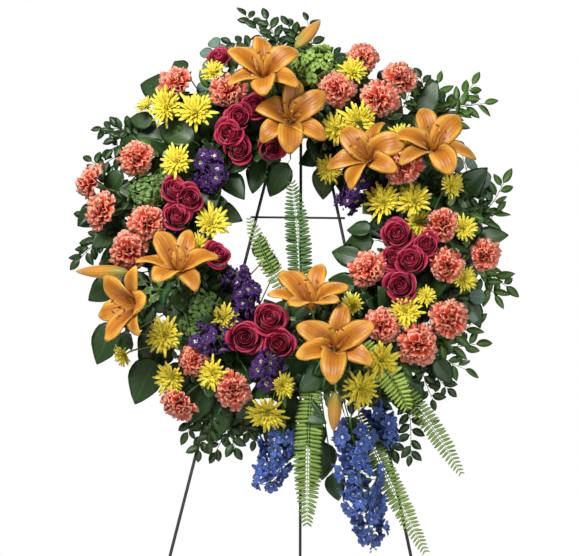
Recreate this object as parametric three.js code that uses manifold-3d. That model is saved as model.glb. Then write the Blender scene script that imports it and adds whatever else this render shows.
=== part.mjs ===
// Funeral wreath on a folding wire easel.
//
// A ring of floral foam sits in a shallow tray. The tray leans on the easel's front legs: its foot stands on
// two wire hooks, and two ties hold it near the top. Every flower, frond and leafy branch is cut on its own
// stem, and each stem stands in its own pocket in the foam. The rear leg hangs on the hinge bar by an eye and
// folds forward to the front legs.
//
// Millimetres. +Z is up, -Y is the front and +X is the viewer's right. The origin is on the floor, under the
// middle of the object's box. Needs the npm packages three and manifold-3d.

import * as THREE from 'three';
import { mergeVertices } from 'three/addons/utils/BufferGeometryUtils.js';
import Module from 'manifold-3d';

const DEG = Math.PI / 180;
const GAP = 0.3; // clearance between pieces that touch

// Easel. The front legs' lines would meet at the apex, a little above the hinge bar.
const APEX = 1372; // height of that meeting point, 54 inches
const APEX_TO_BAR = 44;
const LEAN = 12 * DEG; // the front legs' lean, back from upright
const SPREAD = 0.2275; // how far a front foot stands out for each millimetre of height
const REAR_ANGLE = 15 * DEG; // the open rear leg's angle from upright
const LEG_R = 2.8; // leg wire
const BAR_R = 2; // crossbar and hook wire
const HINGE_HALF = 20; // half the hinge bar's length
const EYE_R = 6.2; // the eye's centre line
const EYE_WIRE_R = 2.4;
const UPPER_BAR_UP = 39; // the upper crossbar's height on the slope, from the ring's centre
const UPPER_BAR_HALF = 86;
const RING_DROP = 378; // apex to the ring's centre, measured straight down
const WIRE_SIDES = 8;

// Ring, as radii about its axis and heights above the tray's back.
const CORE_R = 237; // the middle of the foam
const FOAM_HALF = 42; // half the foam's width
const FOAM_BACK = 2.5;
const FOAM_SIDE = 45; // the height at which the foam's sides start to round over
const FOAM_TOP = 68;
const TRAY_FLOOR = 2.2;
const TRAY_RIM = 14;
const TRAY_WALL = 3;
const TRAY_HALF = FOAM_HALF + 0.5 + TRAY_WALL;
const RING_STEPS = 32; // faces round the ring

// The crossbars stand on the front of the legs, and the tray's back lies against them.
const BAR_PLANE = -GAP - BAR_R;
const LEG_PLANE = BAR_PLANE - BAR_R - GAP - LEG_R;

// Hooks that the ring's foot stands on.
const HOOK_ACROSS = 147;
const HOOK_REACH = 76;
const HOOK_TIP = 20;

// Ties, at the clock angles where the front legs pass behind the foam's core.
const TIE_CLOCKS = { left_tie: 98, right_tie: 82 };
const TIE_WIDTH = 7;
const TIE_THICKNESS = 1.4;
const TIE_SLACK = 1.5; // clearance over the tray's faceted walls

// Stems stand in pockets in the foam.
const STEM_R = 2.5;
const STEM_SIDES = 5;
const BRANCH_R = 2;
const BRANCH_SIDES = 3;
const POCKET_R = STEM_R + 0.7;
const POCKET_REACH = 90;
const STEM_FOOT = 26; // the height of an upright stem's cut end
const SIDE_FOOT_R = 258; // the radius of the cut end of a stem that enters through the foam's side
const SIDE_FOOT = 21;
const FORK_SHARE = 0.72; // how far up its stem a spray branches

// The crown is the domed surface of the flower heads: an ellipse over the ring, level past its edges.
const CROWN_BASE = 38;
const CROWN_RISE = 88;
const CROWN_HALF = 150;
const CROWN_EDGE = 0.93;

// Heads.
const LILY = { length: 90, width: 33, thickness: 2.4, neck: 12 };
const LILY_BUD = { length: 72, radius: 11 };
const CARNATION_R = 29;
const ROSE_R = 22;
const MUM_R = 32;
const LEAF = { length: 36, width: 17, thickness: 2, spacing: 25, splay: 55 * DEG };
const TWIG_R = 1.6;

// Finishes.
const ENAMEL = { color: 0x20261f, roughness: 0.38, metalness: 0.4 };
const TRAY_GREEN = { color: 0x2f4a2c, roughness: 0.6, metalness: 0 };
const FOAM_GREEN = { color: 0x3f6b3a, roughness: 0.95, metalness: 0 };
const TIE_GREEN = { color: 0x23301f, roughness: 0.5, metalness: 0 };
const ORANGE = { color: 0xf0901c, roughness: 0.55, metalness: 0 };
const CORAL = { color: 0xee7458, roughness: 0.7, metalness: 0 };
const MAGENTA = { color: 0xb3174f, roughness: 0.6, metalness: 0 };
const YELLOW = { color: 0xe6cf2a, roughness: 0.65, metalness: 0 };
const VIOLET = { color: 0x4b1e86, roughness: 0.65, metalness: 0 };
const LIME = { color: 0x7ba843, roughness: 0.7, metalness: 0 };
const BLUE = { color: 0x3558c4, roughness: 0.6, metalness: 0 };
const FERN_GREEN = { color: 0x6d9a3a, roughness: 0.6, metalness: 0 };
const LEAF_GREEN = { color: 0x27452a, roughness: 0.4, metalness: 0 };

// ---------------------------------------------------------------- the planting plan
//
// A place is [across, up] from the ring's centre, seen from the front. A head is [across, up, lift], where
// lift raises it off the crown. A clock is the angle at which the stem stands in the ring, in degrees,
// anticlockwise from three o'clock. A facing is [clock, tilt]: the tilt away from the ring's axis and the
// clock angle towards which it leans.

const LILIES = {
  lily_1: { clock: 105, head: [-65, 252, 16], facing: [90, 45], turn: 30, bud: [[-5, 335], [35, 395]] },
  lily_2: { clock: 93, head: [-8, 184, 6], facing: [-90, 8], turn: 32 },
  lily_3: { clock: 40, head: [135, 112, 16], facing: [150, 28], turn: 12 },
  lily_4: { clock: 27, head: [245, 125, 18], facing: [60, 25], turn: 20 },
  lily_5: { clock: -147, head: [-200, -115, 22], facing: [85, 30], turn: 10 },
  lily_6: { clock: -153, head: [-290, -160, 14], facing: [195, 38], turn: 5, bud: [[-318, -96], [-388, -86]] },
  lily_7: { clock: -78, head: [35, -170, 12], facing: [95, 30], turn: 8 },
  lily_8: { clock: -74, head: [80, -246, 46], facing: [80, 8], turn: 25, bud: [[78, -306], [75, -364]] },
};

const CARNATIONS = {
  carnations_1: { clock: 122, heads: [[-220, 272], [-126, 246]] },
  carnations_2: { clock: 168, heads: [[-285, 120], [-380, 86], [-358, 28]] },
  carnations_3: { clock: -175, heads: [[-265, -2], [-300, -52]] },
  carnations_4: { clock: 65, heads: [[80, 250], [156, 236]] },
  carnations_5: { clock: 61, heads: [[120, 325], [190, 285]] },
  carnations_6: { clock: 22, heads: [[195, 95]] },
  carnations_7: { clock: -9, heads: [[275, -75], [345, -50], [265, 0]] },
  carnations_8: { clock: -30, heads: [[130, -80]] },
  carnations_9: { clock: -42, heads: [[160, -185], [225, -220], [280, -170]] },
  carnations_10: { clock: -116, heads: [[-174, -250], [-206, -326], [-105, -305]] },
};

const ROSES = {
  spray_roses_1: { clock: 115, heads: [[-105, 195], [-76, 214], [-105, 135], [-122, 164], [-45, 140]] },
  spray_roses_2: { clock: 176, heads: [[-218, 58], [-190, 42], [-212, 8], [-138, -58]] },
  spray_roses_3: { clock: -17, heads: [[185, -15], [235, -40], [178, -62], [210, -72], [190, -115]] },
  spray_roses_4: { clock: -102, heads: [[-80, -210], [-40, -176], [-15, -220]] },
};

const MUMS = {
  chrysanthemums_1: { clock: 134, heads: [[-240, 215], [-180, 204]] },
  chrysanthemums_2: { clock: 152, heads: [[-215, 110]] },
  chrysanthemums_3: { clock: -179, heads: [[-150, -2]] },
  chrysanthemums_4: { clock: 57, heads: [[72, 175, -8], [112, 188, -4]] },
  chrysanthemums_5: { clock: 10, heads: [[160, 36], [215, 36]] },
  chrysanthemums_6: { clock: -65, heads: [[158, -248], [122, -298]] },
  chrysanthemums_7: { clock: -96, heads: [[-42, -342]] },
  chrysanthemums_8: { clock: -133, heads: [[-227, -208], [-228, -278, -6]] },
};

const HYDRANGEAS = {
  green_hydrangea_1: { clock: 86, head: [24, 298, -14], radius: 38 },
  green_hydrangea_2: { clock: 163, head: [-270, 58, -20], radius: 36 },
  green_hydrangea_3: { clock: -139, head: [-160, -160, -16], radius: 34 },
};

// A spike's foot and tip are given as heads.
const STOCKS = {
  stock_1: { clock: 143, foot: [-175, 130, -34], tip: [-135, 78, 4] },
  stock_2: { clock: 33, foot: [130, 92, -34], tip: [84, 42, 4] },
  stock_3: { clock: -123, foot: [-115, -205, -34], tip: [-78, -110, 4] },
};

// Pieces that enter through the foam's outer side. Their places are [across, up, height above the tray's back].
const DELPHINIUMS = {
  delphinium_1: { clock: -94, spikes: [{ foot: [-14, -360, 46], tip: [-35, -475, 34], radius: 36 }] },
  delphinium_2: {
    clock: -70,
    spikes: [
      { foot: [104, -350, 44], tip: [140, -570, 34], radius: 42 },
      { foot: [142, -318, 40], tip: [182, -385, 40], radius: 24 },
    ],
  },
};

const FERNS = {
  ferns_1: { clock: -86, neck: [-15, -145, 66], fronds: [[-85, 10, 84], [-10, 75, 96]], halfWidth: 18 },
  ferns_2: { clock: -82, neck: [36, -300, 34], fronds: [[35, -530, 30]], halfWidth: 22 },
  ferns_3: { clock: -50, neck: [196, -240, 24], fronds: [[305, -440, 24], [240, -575, 18]], halfWidth: 20 },
};

const GREENERY = {
  greenery_top: { clock: 90, tips: [[-105, 420, 20], [-30, 415, 0], [20, 420, 20]] },
  greenery_upper_right: { clock: 45, tips: [[270, 285, 20], [350, 292, 0], [352, 250, 24]] },
  greenery_right: { clock: 4, tips: [[385, 100, 20], [400, -15, 10], [380, -110, 20]] },
  greenery_lower_right: { clock: -37, tips: [[350, -220, 20], [335, -262, 0], [290, -300, 20]] },
  greenery_lower_left: { clock: -110, tips: [[-180, -415, 20], [-140, -425, 0], [-100, -395, 20]] },
  greenery_left: { clock: 180, tips: [[-395, 135, 20], [-415, 5, 10], [-412, -60, 25]] },
  greenery_upper_left: { clock: 148, tips: [[-375, 195, 20], [-340, 255, 0], [-275, 290, 20]] },
};
const SHOOT_HEIGHT = 22; // the height at which the shoots leave the foam, behind the flower heads
const SHOOT_FORK_R = 300; // the radius at which they part

const wasm = await Module();
wasm.setup();

// ---------------------------------------------------------------- solids

/** A closed three.js geometry as a manifold-3d solid. */
function toSolid(geometry) {
  const bare = geometry.clone();
  bare.deleteAttribute('normal');
  bare.deleteAttribute('uv');
  const merged = mergeVertices(bare, 1e-4);
  const mesh = new wasm.Mesh({
    numProp: 3,
    vertProperties: merged.attributes.position.array,
    triVerts: new Uint32Array(merged.index.array),
  });
  return new wasm.Manifold(mesh);
}

/** A manifold-3d solid as a three.js geometry. */
function toGeometry(solid) {
  const { vertProperties, triVerts } = solid.getMesh();
  const geometry = new THREE.BufferGeometry();
  geometry.setAttribute('position', new THREE.BufferAttribute(vertProperties, 3));
  geometry.setIndex(new THREE.BufferAttribute(triVerts, 1));
  geometry.computeVertexNormals();
  return geometry;
}

/** Closed geometries that overlap, joined into one. */
function fuse(geometries) {
  return toGeometry(geometries.map(toSolid).reduce((sum, solid) => sum.add(solid)));
}

/** A straight wire or stem between two points. */
function rod(from, to, radius, sides = STEM_SIDES) {
  const along = to.clone().sub(from);
  const geometry = new THREE.CylinderGeometry(radius, radius, along.length(), sides);
  geometry.translate(0, along.length() / 2, 0);
  const turn = new THREE.Quaternion().setFromUnitVectors(new THREE.Vector3(0, 1, 0), along.normalize());
  return geometry.applyQuaternion(turn).translate(from.x, from.y, from.z);
}

/** A solid of revolution about +Z from [radius, height] points that start and end on the axis or close up. */
function turned(profile, sides) {
  const points = profile.map(([radius, height]) => new THREE.Vector2(radius, height));
  return new THREE.LatheGeometry(points, sides).rotateX(90 * DEG);
}

/** Pulls the upper part of a head in and out in waves round its rim. */
function scalloped(geometry, waves, depth) {
  const position = geometry.attributes.position;
  for (let i = 0; i < position.count; i++) {
    const [x, y] = [position.getX(i), position.getY(i)];
    const swell = position.getZ(i) > -5 ? 1 + depth * Math.cos(waves * Math.atan2(y, x)) : 1;
    position.setXY(i, x * swell, y * swell);
  }
  return geometry;
}

/**
 * A thin curved blade that grows along +X with its width along Y. Its width follows outline(s) and its middle
 * follows midline(s) = [out, rise], for s from 0 at its foot to 1 at its tip.
 */
function blade({ width, thickness, steps, outline, midline }) {
  const geometry = new THREE.BoxGeometry(1, 1, 1, steps, 1, 1);
  const position = geometry.attributes.position;
  const ahead = 0.01;
  for (let i = 0; i < position.count; i++) {
    const s = position.getX(i) + 0.5;
    const [out, rise] = midline(s);
    const [outAhead, riseAhead] = midline(s + ahead);
    const slant = Math.atan2(riseAhead - rise, outAhead - out);
    const lift = position.getZ(i) * thickness;
    const across = position.getY(i) * width * outline(s);
    position.setXYZ(i, out - lift * Math.sin(slant), across, rise + lift * Math.cos(slant));
  }
  return geometry;
}

/** The matrix that stands a head made about +Z at a point, facing a direction and turned about its own axis. */
function standing(point, facing, turn = 0) {
  const face = new THREE.Quaternion().setFromUnitVectors(new THREE.Vector3(0, 0, 1), facing);
  const spin = new THREE.Quaternion().setFromAxisAngle(new THREE.Vector3(0, 0, 1), turn);
  return new THREE.Matrix4().compose(point, face.multiply(spin), new THREE.Vector3(1, 1, 1));
}

/** The matrix that lays a blade along a direction with its upper side facing the front. */
function laid(foot, along) {
  const x = along.clone().normalize();
  const z = new THREE.Vector3(0, 0, 1).addScaledVector(x, -x.z).normalize();
  return new THREE.Matrix4().makeBasis(x, z.clone().cross(x), z).setPosition(foot);
}

// ---------------------------------------------------------------- places on the ring

/** A point at a clock angle in degrees. */
function onRing(clock, radius, height) {
  return new THREE.Vector3(radius * Math.cos(clock * DEG), radius * Math.sin(clock * DEG), height);
}

/** How far across the crown a place lies, from -1 at the hole's side to 1 at the outer side. */
function crownShare(across, up) {
  const share = (Math.hypot(across, up) - CORE_R) / CROWN_HALF;
  return THREE.MathUtils.clamp(share, -CROWN_EDGE, CROWN_EDGE);
}

/** The point of a head [across, up, lift]. */
function onCrown([across, up, lift = 0]) {
  const share = crownShare(across, up);
  return new THREE.Vector3(across, up, CROWN_BASE + CROWN_RISE * Math.sqrt(1 - share * share) + lift);
}

/** The crown's outward direction at [across, up]. */
function crownFacing([across, up]) {
  const share = crownShare(across, up);
  const outward = new THREE.Vector3(across, up, 0).normalize().multiplyScalar(share / CROWN_HALF);
  return outward.setZ(Math.sqrt(1 - share * share) / CROWN_RISE).normalize();
}

/** The direction of a facing [clock, tilt]. */
function towards([clock, tilt]) {
  return onRing(clock, Math.sin(tilt * DEG), Math.cos(tilt * DEG));
}

// ---------------------------------------------------------------- heads, each about +Z with its stem below

/** An open lily: six tepals that rise from the throat, spread and curl back. */
function lilyHead() {
  const { length, width, thickness } = LILY;
  const tepal = blade({
    width,
    thickness,
    steps: 3,
    outline: (s) => 0.12 + 0.88 * Math.sin(Math.PI * s ** 1.4),
    midline: (s) => [
      2 + length * (0.42 * s + 0.65 * s ** 2 - 0.26 * s ** 3),
      length * (0.91 * s - 0.26 * s ** 2 - 0.25 * s ** 3) - 4,
    ],
  });
  const tepals = Array.from({ length: 6 }, (_, i) => tepal.clone().rotateZ(i * 60 * DEG));
  return [turned([[0, -14], [4, -12], [8, 4], [0, 6]], 6), ...tepals];
}

/** A closed lily bud that stands on its foot. */
function lilyBud() {
  const { length, radius } = LILY_BUD;
  const profile = [[0, -5], [0.6 * radius, 6], [radius, 0.4 * length], [0.6 * radius, 0.85 * length], [0, length]];
  return turned(profile, 6);
}

/** A carnation: a ruffled dome of petals over a narrow calyx. */
function carnationHead() {
  const r = CARNATION_R;
  const profile = [[0, -26], [0.88 * r, -3], [r, 6], [0.72 * r, 17], [0, 21]];
  return [scalloped(turned(profile, 10), 5, 0.06)];
}

/** A spray rose: a cup of petals on a narrow hip. */
function roseHead() {
  const r = ROSE_R;
  return [turned([[0, -22], [0.8 * r, -9], [r, 4], [0.8 * r, 13], [0, 14]], 8)];
}

/** A cushion chrysanthemum: a shallow, scalloped disc of rays. */
function mumHead() {
  const r = MUM_R;
  return [scalloped(turned([[0, -12], [r, -1], [0.88 * r, 6], [0, 10]], 12), 6, 0.07)];
}

/** A domed cluster of small florets. */
function hydrangeaHead(r) {
  return [turned([[0, -26], [0.6 * r, -18], [r, 0], [0.72 * r, 15], [0, 21]], 9)];
}

/** A flower spike, lumpy with florets, from its foot to its tip. */
function spike(foot, tip, radius) {
  const along = tip.clone().sub(foot);
  const lumps = [[0, -0.03], [0.7, 0.08], [1, 0.24], [0.8, 0.38], [0.92, 0.52], [0.66, 0.68], [0.6, 0.86], [0, 1]];
  const body = turned(lumps.map(([r, h]) => [r * radius, h * along.length()]), 8);
  return body.applyMatrix4(standing(foot, along.normalize()));
}

/** A fern frond with a toothed blade that arches between its foot and its tip. */
function frond(foot, tip, halfWidth) {
  const along = tip.clone().sub(foot);
  const length = along.length();
  const teeth = 14;
  const body = blade({
    width: 2 * halfWidth,
    thickness: 2.4,
    steps: teeth,
    outline: (s) => {
      const tooth = Math.round(s * teeth) % 2 ? 1 : 0.45;
      return tooth * (0.12 + 0.88 * Math.sin(Math.PI * (0.14 + 0.84 * s)) ** 0.7);
    },
    midline: (s) => [length * s, 0.05 * length * Math.sin(Math.PI * s)],
  });
  return body.applyMatrix4(laid(foot, along));
}

/** A leafy shoot from foot to tip, flat: a twig with kite-shaped leaves in pairs and one at its tip. */
function shoot(foot, tip) {
  const along = tip.clone().sub(foot);
  const twig = along.length() - LEAF.length;
  const leafAt = (distance, splay) => {
    const node = new THREE.Vector2(distance, 0);
    const outline = [[0.45, 0.5], [1, 0], [0.45, -0.5]];
    const corner = ([share, side]) => new THREE.Vector2(share * LEAF.length, side * LEAF.width);
    return outline.map((point) => corner(point).rotateAround(new THREE.Vector2(), splay).add(node));
  };
  const edge = []; // the shoot's left edge, from the tip's side to the foot
  for (let distance = twig - LEAF.spacing; distance > 0.3 * twig; distance -= LEAF.spacing) {
    const [left, point, right] = leafAt(distance, LEAF.splay);
    edge.push(new THREE.Vector2(distance + 2, TWIG_R), right, point, left, new THREE.Vector2(distance - 2, TWIG_R));
  }
  edge.push(new THREE.Vector2(0, TWIG_R));
  const mirrored = edge.map(({ x, y }) => new THREE.Vector2(x, -y)).reverse();
  const outline = new THREE.Shape([...leafAt(twig, 0).reverse(), ...edge, ...mirrored]);
  const flat = new THREE.ExtrudeGeometry(outline, { depth: LEAF.thickness, bevelEnabled: false });
  return flat.translate(0, 0, -LEAF.thickness / 2).applyMatrix4(laid(foot, along));
}

// ---------------------------------------------------------------- planting

const wreath = new THREE.Group(); // local +X across, +Y up the slope, +Z out from the ring
const pockets = []; // the cutters of the stems' pockets

/** Adds one planted piece: its stem from foot to neck, joined to what the stem carries. */
function plant(name, finish, foot, neck, pieces) {
  const out = neck.clone().sub(foot).normalize();
  const bottom = foot.clone().addScaledVector(out, -GAP);
  pockets.push(rod(bottom, foot.clone().addScaledVector(out, POCKET_REACH), POCKET_R));
  const geometry = fuse([rod(foot, neck, STEM_R), ...pieces]);
  const mesh = new THREE.Mesh(geometry.translate(-foot.x, -foot.y, -foot.z), new THREE.MeshStandardMaterial(finish));
  mesh.name = name;
  mesh.position.copy(foot);
  wreath.add(mesh);
}

/** The cut end of a stem that stands in the middle of the foam. */
function stemFoot(clock) {
  return onRing(clock, CORE_R, STEM_FOOT);
}

/** The cut end of a stem that enters through the foam's outer side. */
function sideFoot(clock) {
  return onRing(clock, SIDE_FOOT_R, SIDE_FOOT);
}

/** A spray: heads that share a branching stem, or one head straight on its stem. */
function plantSpray(name, finish, clock, makeHead, heads, neckDepth) {
  const foot = stemFoot(clock);
  const points = heads.map(onCrown);
  const necks = heads.map((head, i) => points[i].clone().addScaledVector(crownFacing(head), -neckDepth));
  const middle = necks.reduce((sum, neck) => sum.add(neck), new THREE.Vector3()).divideScalar(necks.length);
  const fork = necks.length > 1 ? foot.clone().lerp(middle, FORK_SHARE) : middle;
  const branches = necks.length > 1 ? necks.map((neck) => rod(fork, neck, BRANCH_R, BRANCH_SIDES)) : [];
  const tops = heads.flatMap((head, i) => {
    const place = standing(points[i], crownFacing(head));
    return makeHead().map((piece) => piece.applyMatrix4(place));
  });
  plant(name, finish, foot, fork, [...branches, ...tops]);
}

/** A lily on its stem, with a bud on a stalk if it has one. */
function plantLily(name, { clock, head, facing, turn, bud }) {
  const foot = stemFoot(clock);
  const throat = onCrown(head);
  const direction = towards(facing);
  const neck = throat.clone().addScaledVector(direction, -LILY.neck);
  const place = standing(throat, direction, turn * DEG);
  const pieces = lilyHead().map((piece) => piece.applyMatrix4(place));
  if (bud) {
    const [budFoot, budTip] = bud.map(onCrown);
    const along = budTip.sub(budFoot).normalize();
    pieces.push(rod(foot.clone().lerp(neck, FORK_SHARE), budFoot, BRANCH_R, BRANCH_SIDES));
    pieces.push(lilyBud().applyMatrix4(standing(budFoot, along)));
  }
  plant(name, ORANGE, foot, neck, pieces);
}

for (const [name, lily] of Object.entries(LILIES)) plantLily(name, lily);
for (const [name, { clock, heads }] of Object.entries(CARNATIONS)) {
  plantSpray(name, CORAL, clock, carnationHead, heads, 24);
}
for (const [name, { clock, heads }] of Object.entries(ROSES)) {
  plantSpray(name, MAGENTA, clock, roseHead, heads, 20);
}
for (const [name, { clock, heads }] of Object.entries(MUMS)) {
  plantSpray(name, YELLOW, clock, mumHead, heads, 10);
}
for (const [name, { clock, head, radius }] of Object.entries(HYDRANGEAS)) {
  plantSpray(name, LIME, clock, () => hydrangeaHead(radius), [head], 22);
}
for (const [name, { clock, foot, tip }] of Object.entries(STOCKS)) {
  const spikeFoot = onCrown(foot);
  plant(name, VIOLET, stemFoot(clock), spikeFoot, [spike(spikeFoot, onCrown(tip), 25)]);
}
for (const [name, { clock, spikes }] of Object.entries(DELPHINIUMS)) {
  const neck = onRing(clock, SHOOT_FORK_R, SIDE_FOOT + 4);
  const pieces = spikes.flatMap(({ foot, tip, radius }) => {
    const spikeFoot = new THREE.Vector3(...foot);
    return [rod(neck, spikeFoot, BRANCH_R, BRANCH_SIDES), spike(spikeFoot, new THREE.Vector3(...tip), radius)];
  });
  plant(name, BLUE, sideFoot(clock), neck, pieces);
}
for (const [name, { clock, neck, fronds, halfWidth }] of Object.entries(FERNS)) {
  const throat = new THREE.Vector3(...neck);
  const foot = throat.length() > CORE_R ? sideFoot(clock) : stemFoot(clock);
  plant(name, FERN_GREEN, foot, throat, fronds.map((tip) => frond(throat, new THREE.Vector3(...tip), halfWidth)));
}
for (const [name, { clock, tips }] of Object.entries(GREENERY)) {
  const fork = onRing(clock, SHOOT_FORK_R, SHOOT_HEIGHT);
  const pieces = tips.map((tip) => shoot(fork, new THREE.Vector3(...tip)));
  plant(name, LEAF_GREEN, sideFoot(clock), fork, pieces);
}

// ---------------------------------------------------------------- ring, ties and hooks, on the same slope

/** Adds a named mesh to a group. */
function add(group, name, geometry, finish) {
  const mesh = new THREE.Mesh(geometry, new THREE.MeshStandardMaterial(finish));
  mesh.name = name;
  group.add(mesh);
}

/** The foam's section over the top from outside to inside, with its edges moved out by a margin. */
function foamSection(margin) {
  const [inner, outer] = [CORE_R - FOAM_HALF - margin, CORE_R + FOAM_HALF + margin];
  const top = FOAM_TOP + margin;
  return [
    [outer, FOAM_SIDE],
    [outer - 10, top - 6],
    [CORE_R + 12, top],
    [CORE_R - 12, top],
    [inner + 10, top - 6],
    [inner, FOAM_SIDE],
  ];
}

/** A ring of closed [radius, height] section. */
function ring(section) {
  return turned([...section, section[0]], RING_STEPS);
}

/** The foam, with a pocket for each stem. */
function foamRing() {
  const [inner, outer] = [CORE_R - FOAM_HALF, CORE_R + FOAM_HALF];
  const section = [[outer, FOAM_BACK], ...foamSection(0), [inner, FOAM_BACK]];
  return toGeometry(pockets.map(toSolid).reduce((foam, pocket) => foam.subtract(pocket), toSolid(ring(section))));
}

/** The tray: a floor with an inner and an outer rim. */
function ringTray() {
  const [inner, outer] = [CORE_R - TRAY_HALF, CORE_R + TRAY_HALF];
  return ring([
    [outer, 0],
    [outer, TRAY_RIM],
    [outer - TRAY_WALL, TRAY_RIM],
    [outer - TRAY_WALL, TRAY_FLOOR],
    [inner + TRAY_WALL, TRAY_FLOOR],
    [inner + TRAY_WALL, TRAY_RIM],
    [inner, TRAY_RIM],
    [inner, 0],
  ]);
}

/** A tie round the foam, the tray and the leg behind them, standing across the ring at a clock angle. */
function tie(clock) {
  const back = LEG_PLANE - LEG_R - GAP;
  const loop = (margin) => {
    const half = TRAY_HALF + TIE_SLACK + margin;
    const front = foamSection(half - FOAM_HALF);
    return [[CORE_R + half, back - margin], ...front, [CORE_R - half, back - margin]];
  };
  const toPoints = (section) => section.map(([radius, height]) => new THREE.Vector2(radius, height));
  const shape = new THREE.Shape(toPoints(loop(TIE_THICKNESS)));
  shape.holes.push(new THREE.Path(toPoints(loop(0))));
  const band = new THREE.ExtrudeGeometry(shape, { depth: TIE_WIDTH, bevelEnabled: false });
  return band.translate(0, 0, -TIE_WIDTH / 2).rotateX(90 * DEG).rotateZ(clock * DEG);
}

const hookRadius = CORE_R + TRAY_HALF + GAP + BAR_R;
const restUp = -Math.sqrt(hookRadius ** 2 - HOOK_ACROSS ** 2);

/** A hook: a wire that reaches forward under the ring and turns up in front of the foam. */
function hook(side) {
  const root = new THREE.Vector3(side * HOOK_ACROSS, restUp, 0);
  const bend = root.clone().setZ(HOOK_REACH);
  const tip = bend.clone().addScaledVector(root.clone().normalize(), -HOOK_TIP);
  const past = bend.clone().setZ(HOOK_REACH + BAR_R);
  return fuse([rod(root, past, BAR_R, WIRE_SIDES), rod(bend, tip, BAR_R, WIRE_SIDES)]);
}

/** A crossbar on the front of the legs. */
function crossbar(halfLength, up) {
  const end = new THREE.Vector3(halfLength, up, BAR_PLANE);
  return rod(end.clone().setX(-halfLength), end, BAR_R, WIRE_SIDES);
}

add(wreath, 'ring_tray', ringTray(), TRAY_GREEN);
add(wreath, 'foam_ring', foamRing(), FOAM_GREEN);
for (const [name, clock] of Object.entries(TIE_CLOCKS)) add(wreath, name, tie(clock), TIE_GREEN);
add(wreath, 'upper_crossbar', crossbar(UPPER_BAR_HALF, UPPER_BAR_UP), ENAMEL);
add(wreath, 'rest_bar', crossbar(HOOK_ACROSS + BAR_R, restUp), ENAMEL);
add(wreath, 'left_hook', hook(-1), ENAMEL);
add(wreath, 'right_hook', hook(1), ENAMEL);

// ---------------------------------------------------------------- easel legs, upright

const easel = new THREE.Group();
const barHeight = APEX - APEX_TO_BAR;
const barBack = -APEX_TO_BAR * Math.tan(LEAN);
const hingePoint = new THREE.Vector3(0, barBack, barHeight);

/** A rod that runs past the floor, cut level with it and with a ceiling. */
function footed(geometry, ceiling) {
  const room = new THREE.BoxGeometry(2 * APEX, 2 * APEX, ceiling).translate(0, 0, ceiling / 2);
  return toGeometry(toSolid(geometry).intersect(toSolid(room)));
}

/** A front leg, from under the hinge bar to the floor. */
function frontLeg(side) {
  const onLegLine = (drop) => new THREE.Vector3(side * SPREAD * drop, -Math.tan(LEAN) * drop, APEX - drop);
  const leg = rod(onLegLine(APEX_TO_BAR - 10), onLegLine(APEX + 10), LEG_R, WIRE_SIDES);
  return footed(leg, barHeight - LEG_R - GAP);
}

/** The rear leg, with the eye that turns on the hinge bar. */
function rearLeg() {
  const down = new THREE.Vector3(0, Math.sin(REAR_ANGLE), -Math.cos(REAR_ANGLE));
  const top = hingePoint.clone().addScaledVector(down, EYE_R);
  const foot = hingePoint.clone().addScaledVector(down, APEX / Math.cos(REAR_ANGLE));
  const eye = new THREE.TorusGeometry(EYE_R, EYE_WIRE_R, 6, 12).rotateY(90 * DEG);
  eye.translate(hingePoint.x, hingePoint.y, hingePoint.z);
  return footed(toGeometry(toSolid(eye).add(toSolid(rod(top, foot, LEG_R, WIRE_SIDES)))), APEX);
}

/** The bar across the legs' tops. */
function hingeBar() {
  const end = hingePoint.clone().setX(HINGE_HALF);
  return rod(end.clone().setX(-HINGE_HALF), end, LEG_R, WIRE_SIDES);
}

add(easel, 'left_leg', frontLeg(-1), ENAMEL);
add(easel, 'right_leg', frontLeg(1), ENAMEL);
add(easel, 'hinge_bar', hingeBar(), ENAMEL);
add(easel, 'rear_leg', rearLeg(), ENAMEL);

// ---------------------------------------------------------------- assembly

// The wreath's group stands on the front legs' slope, its back clear of the legs by the crossbars' thickness.
const up = new THREE.Vector3(0, Math.sin(LEAN), Math.cos(LEAN));
const out = new THREE.Vector3(1, 0, 0).cross(up);
wreath.rotation.x = 90 * DEG - LEAN;
wreath.position.set(0, -RING_DROP * Math.tan(LEAN), APEX - RING_DROP).addScaledVector(out, -LEG_PLANE);

// The whole is moved so that the origin is on the floor under the middle of the object's box.
const root = new THREE.Group();
root.add(easel, wreath);
const box = new THREE.Box3().setFromObject(root, true);
root.position.set(-(box.min.x + box.max.x) / 2, -(box.min.y + box.max.y) / 2, -box.min.z);

export default root;
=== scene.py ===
"""The dressing of a funeral wreath on its folding wire easel.

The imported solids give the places: the tray shows where the ring stands and how it leans, and the legs' ends
show where the wires run. Shapes are worked out in millimetres in the ring's own axes, which are across, up
the slope and out of the ring, and are put into the row's axes in metres when a piece is made.
"""

import logging
import math
from dataclasses import dataclass
from enum import Enum
from typing import Any, Callable, Iterable, Sequence

import bpy
import numpy as np
from mathutils import Matrix, Vector


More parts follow.
